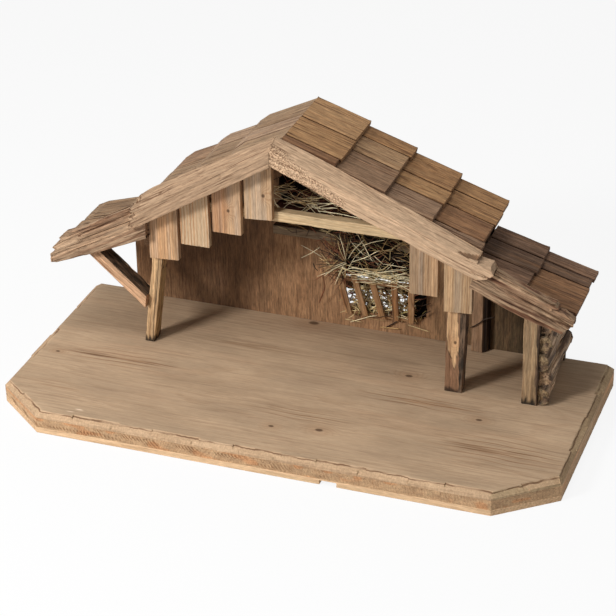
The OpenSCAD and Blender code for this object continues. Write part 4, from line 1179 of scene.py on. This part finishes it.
def rack_hay(material, shade):
    """The bundle in the rack: a near-black body of painted shade deep in the hay, pale straws along it and a
    reddish tuft at the left.
    """
    hay = Bundle(11)
    core = Bundle(12)
    for centre, half in (((20, 127, 128), (26, 13, 22)), ((52, 126, 128), (32, 14, 22)),
                         ((78, 127, 128), (18, 13, 22)), ((42, 130, 152), (42, 11, 18))):
        core.lump(centre, half, "shade_black", seed=centre[0])
    hay.scatter(100, (2, 110, 112), (96, 118, 168), (14, 40), DEEP_MIX, 50, (0.2, 0.42))
    hay.scatter(36, (6, 107, 112), (96, 114, 166), (14, 42), RACK_MIX, 36, (0.18, 0.38))
    hay.scatter(80, (-4, 113, 150), (90, 121, 180), (12, 36), DEEP_MIX, 50, (0.22, 0.42))
    hay.scatter(12, (0, 110, 148), (90, 118, 178), (16, 40), RACK_MIX, 40, (0.2, 0.36))
    hay.scatter(50, (24, 103, 109), (98, 109, 129), (20, 50), BAND_MIX, 14, (0.22, 0.48), 0.1)
    hay.scatter(80, (-16, 108, 104), (16, 120, 168), (14, 34), TUFT_MIX, 75, (0.25, 0.5))
    heart = by_pixels((345, 262), y=107)[0]
    for k in range(48):
        turn = math.radians(hay.rng.uniform(75, 280))
        heading = np.array((math.cos(turn), hay.rng.uniform(-0.15, 0.35), math.sin(turn)))
        length = hay.rng.uniform(14, 42)
        tone = hay.pick(RACK_MIX if k % 3 == 0 else TUFT_MIX)
        hay.straw(heart + heading * length / 2, heading, length, tone, hay.rng.uniform(0.25, 0.5), 0.06)
    pale = [(301, 245, 322, 257), (301, 258, 320, 247), (326, 270, 346, 262), (324, 276, 347, 263),
            (384, 272, 407, 270), (386, 279, 407, 273), (388, 284, 406, 277), (383, 264, 407, 268),
            (350, 268, 378, 274), (348, 259, 364, 240), (346, 260, 339, 234), (352, 262, 380, 250),
            (352, 270, 406, 280), (356, 276, 398, 271), (362, 246, 385, 240), (374, 256, 384, 265)]
    for row in pale:
        ends = by_pixels(row[:2], row[2:], y=104)
        middle = (ends[0] + ends[1]) / 2 + hay.rng.normal(0, 1.2, 3)
        hay.laid([ends[0], middle, ends[1]], 0.38, "cream")
    hay.laid(by_pixels((323, 274), (325, 288), (319, 303), y=[118, 126, 136]), 0.7, "red")
    hay.laid(by_pixels((313, 263), (315, 268), (318, 271), y=112), 0.6, "dark")
    window_low, window_high = WINDOW
    wall_y = (window_low[1] + window_high[1]) / 2
    # The near-black lump at the window's right end is painted shade where the rack shades the wall; the
    # others are dark hay
    for x, z, half in ((window_high[0] - 7, 66, (15, 3.4, 22)), (14, 84, (24, 3, 8)), (58, 86, (34, 3, 8)),
                       (34, 60, (5, 3, 6)), (80, 66, (5, 3, 4))):
        core.lump((x, wall_y, z), half, "shade_black" if x > 90 else "dark", int(x), 0.5)
    hay.scatter(190, (15, 134, 56), (86, 142, 90), (10, 24), BAND_MIX, 60, (0.4, 1.0), 0.05)
    hay.scatter(70, (4, 136, 52), (100, 143, 84), (10, 26), DEEP_MIX, 60, (0.3, 0.8), 0.05)
    hay.scatter(7, (8, 132, 48), (84, 137, 58), (12, 24), RACK_MIX, 30, depth=0.1)
    core.piece("rack_hay_core", shade, "rack_hay")
    hay.piece("rack_hay_stems", material, "rack_hay")


def loft_hay(material, shade):
    """Hay on the ledge under the gable."""
    hay = Bundle(23)
    core = Bundle(24)
    # The upper lumps are near black, painted shade under the gable; the lower ones are russet
    for centre, half in (((12, 130, 174), (76, 12, 13)), ((-4, 131, 196), (60, 11, 20)),
                         ((18, 132, 216), (60, 10, 17)), ((-44, 132, 206), (32, 10, 28)),
                         ((-58, 131, 176), (22, 10, 14))):
        core.lump(centre, half, "russet" if centre[2] < 200 else "shade_black", seed=centre[2])
    hay.scatter(60, (-74, 112, 176), (40, 122, 230), (14, 40), DEEP_MIX, 35, (0.25, 0.4))
    hay.scatter(30, (-74, 104, 178), (44, 112, 228), (14, 46), LOFT_MIX, 36, (0.2, 0.4))
    hay.scatter(38, (-70, 70, 209), (14, 100, 224), (18, 44), LOFT_MIX, 26, (0.25, 0.45))
    hay.scatter(20, (-20, 106, 196), (84, 118, 228), (14, 40), LOFT_MIX, 26)
    hay.scatter(10, (-60, 104, 160), (-4, 114, 170), (12, 26), TUFT_MIX, 35)
    core.piece("loft_hay_core", shade, "loft_hay")
    hay.piece("loft_hay_stems", material, "loft_hay")


def loose_hay(material):
    """Straws that lie on the collar beam and at the foot of the wall."""
    hay = Bundle(37)
    collar_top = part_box("collar_beam")[1].z / MM + 0.4
    ends = [np.array(at_pixel(px, py, z=collar_top * MM)) / MM for px, py in ((318, 211), (362, 219))]
    hay.laid([ends[0], (ends[0] + ends[1]) / 2 + (0, 1.5, 0.6), ends[1]], 0.45, "cream")
    for a, b, tone, radius in (((380, 327), (400, 329), "tan", 0.9), ((385, 328), (398, 321), "dark", 0.7),
                          ((408, 325), (430, 332), "pale", 0.5), ((345, 319), (362, 322), "pale", 0.5),
                          ((366, 318), (386, 321), "tan", 0.4), ((350, 322), (372, 316), "cream", 0.4)):
        hay.laid(by_pixels(a, b, y=WALL_FACE_Y / MM - 2), radius, tone)
    post_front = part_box("post_rear_right")[0].y / MM
    path = by_pixels((470, 328), (478, 324), (485, 319), (495, 317), y=post_front - 1.2)
    hay.laid(path, 0.6, "dark", 12)
    hay.piece("loose_hay_stems", material)


add_camera()
for lamp_name, lamp in LAMPS.items():
    add_lamp(lamp_name, **lamp)
add_sky()
add_floor()
all_wood()
screws_and_pins()
stems = straw("hay", 0.3)
packed_and_shade = straw("packed_hay_and_shade", 0.02)
rack_hay(stems, packed_and_shade)
loft_hay(stems, packed_and_shade)
loose_hay(stems)

bpy.context.scene.view_settings.view_transform = "Standard"
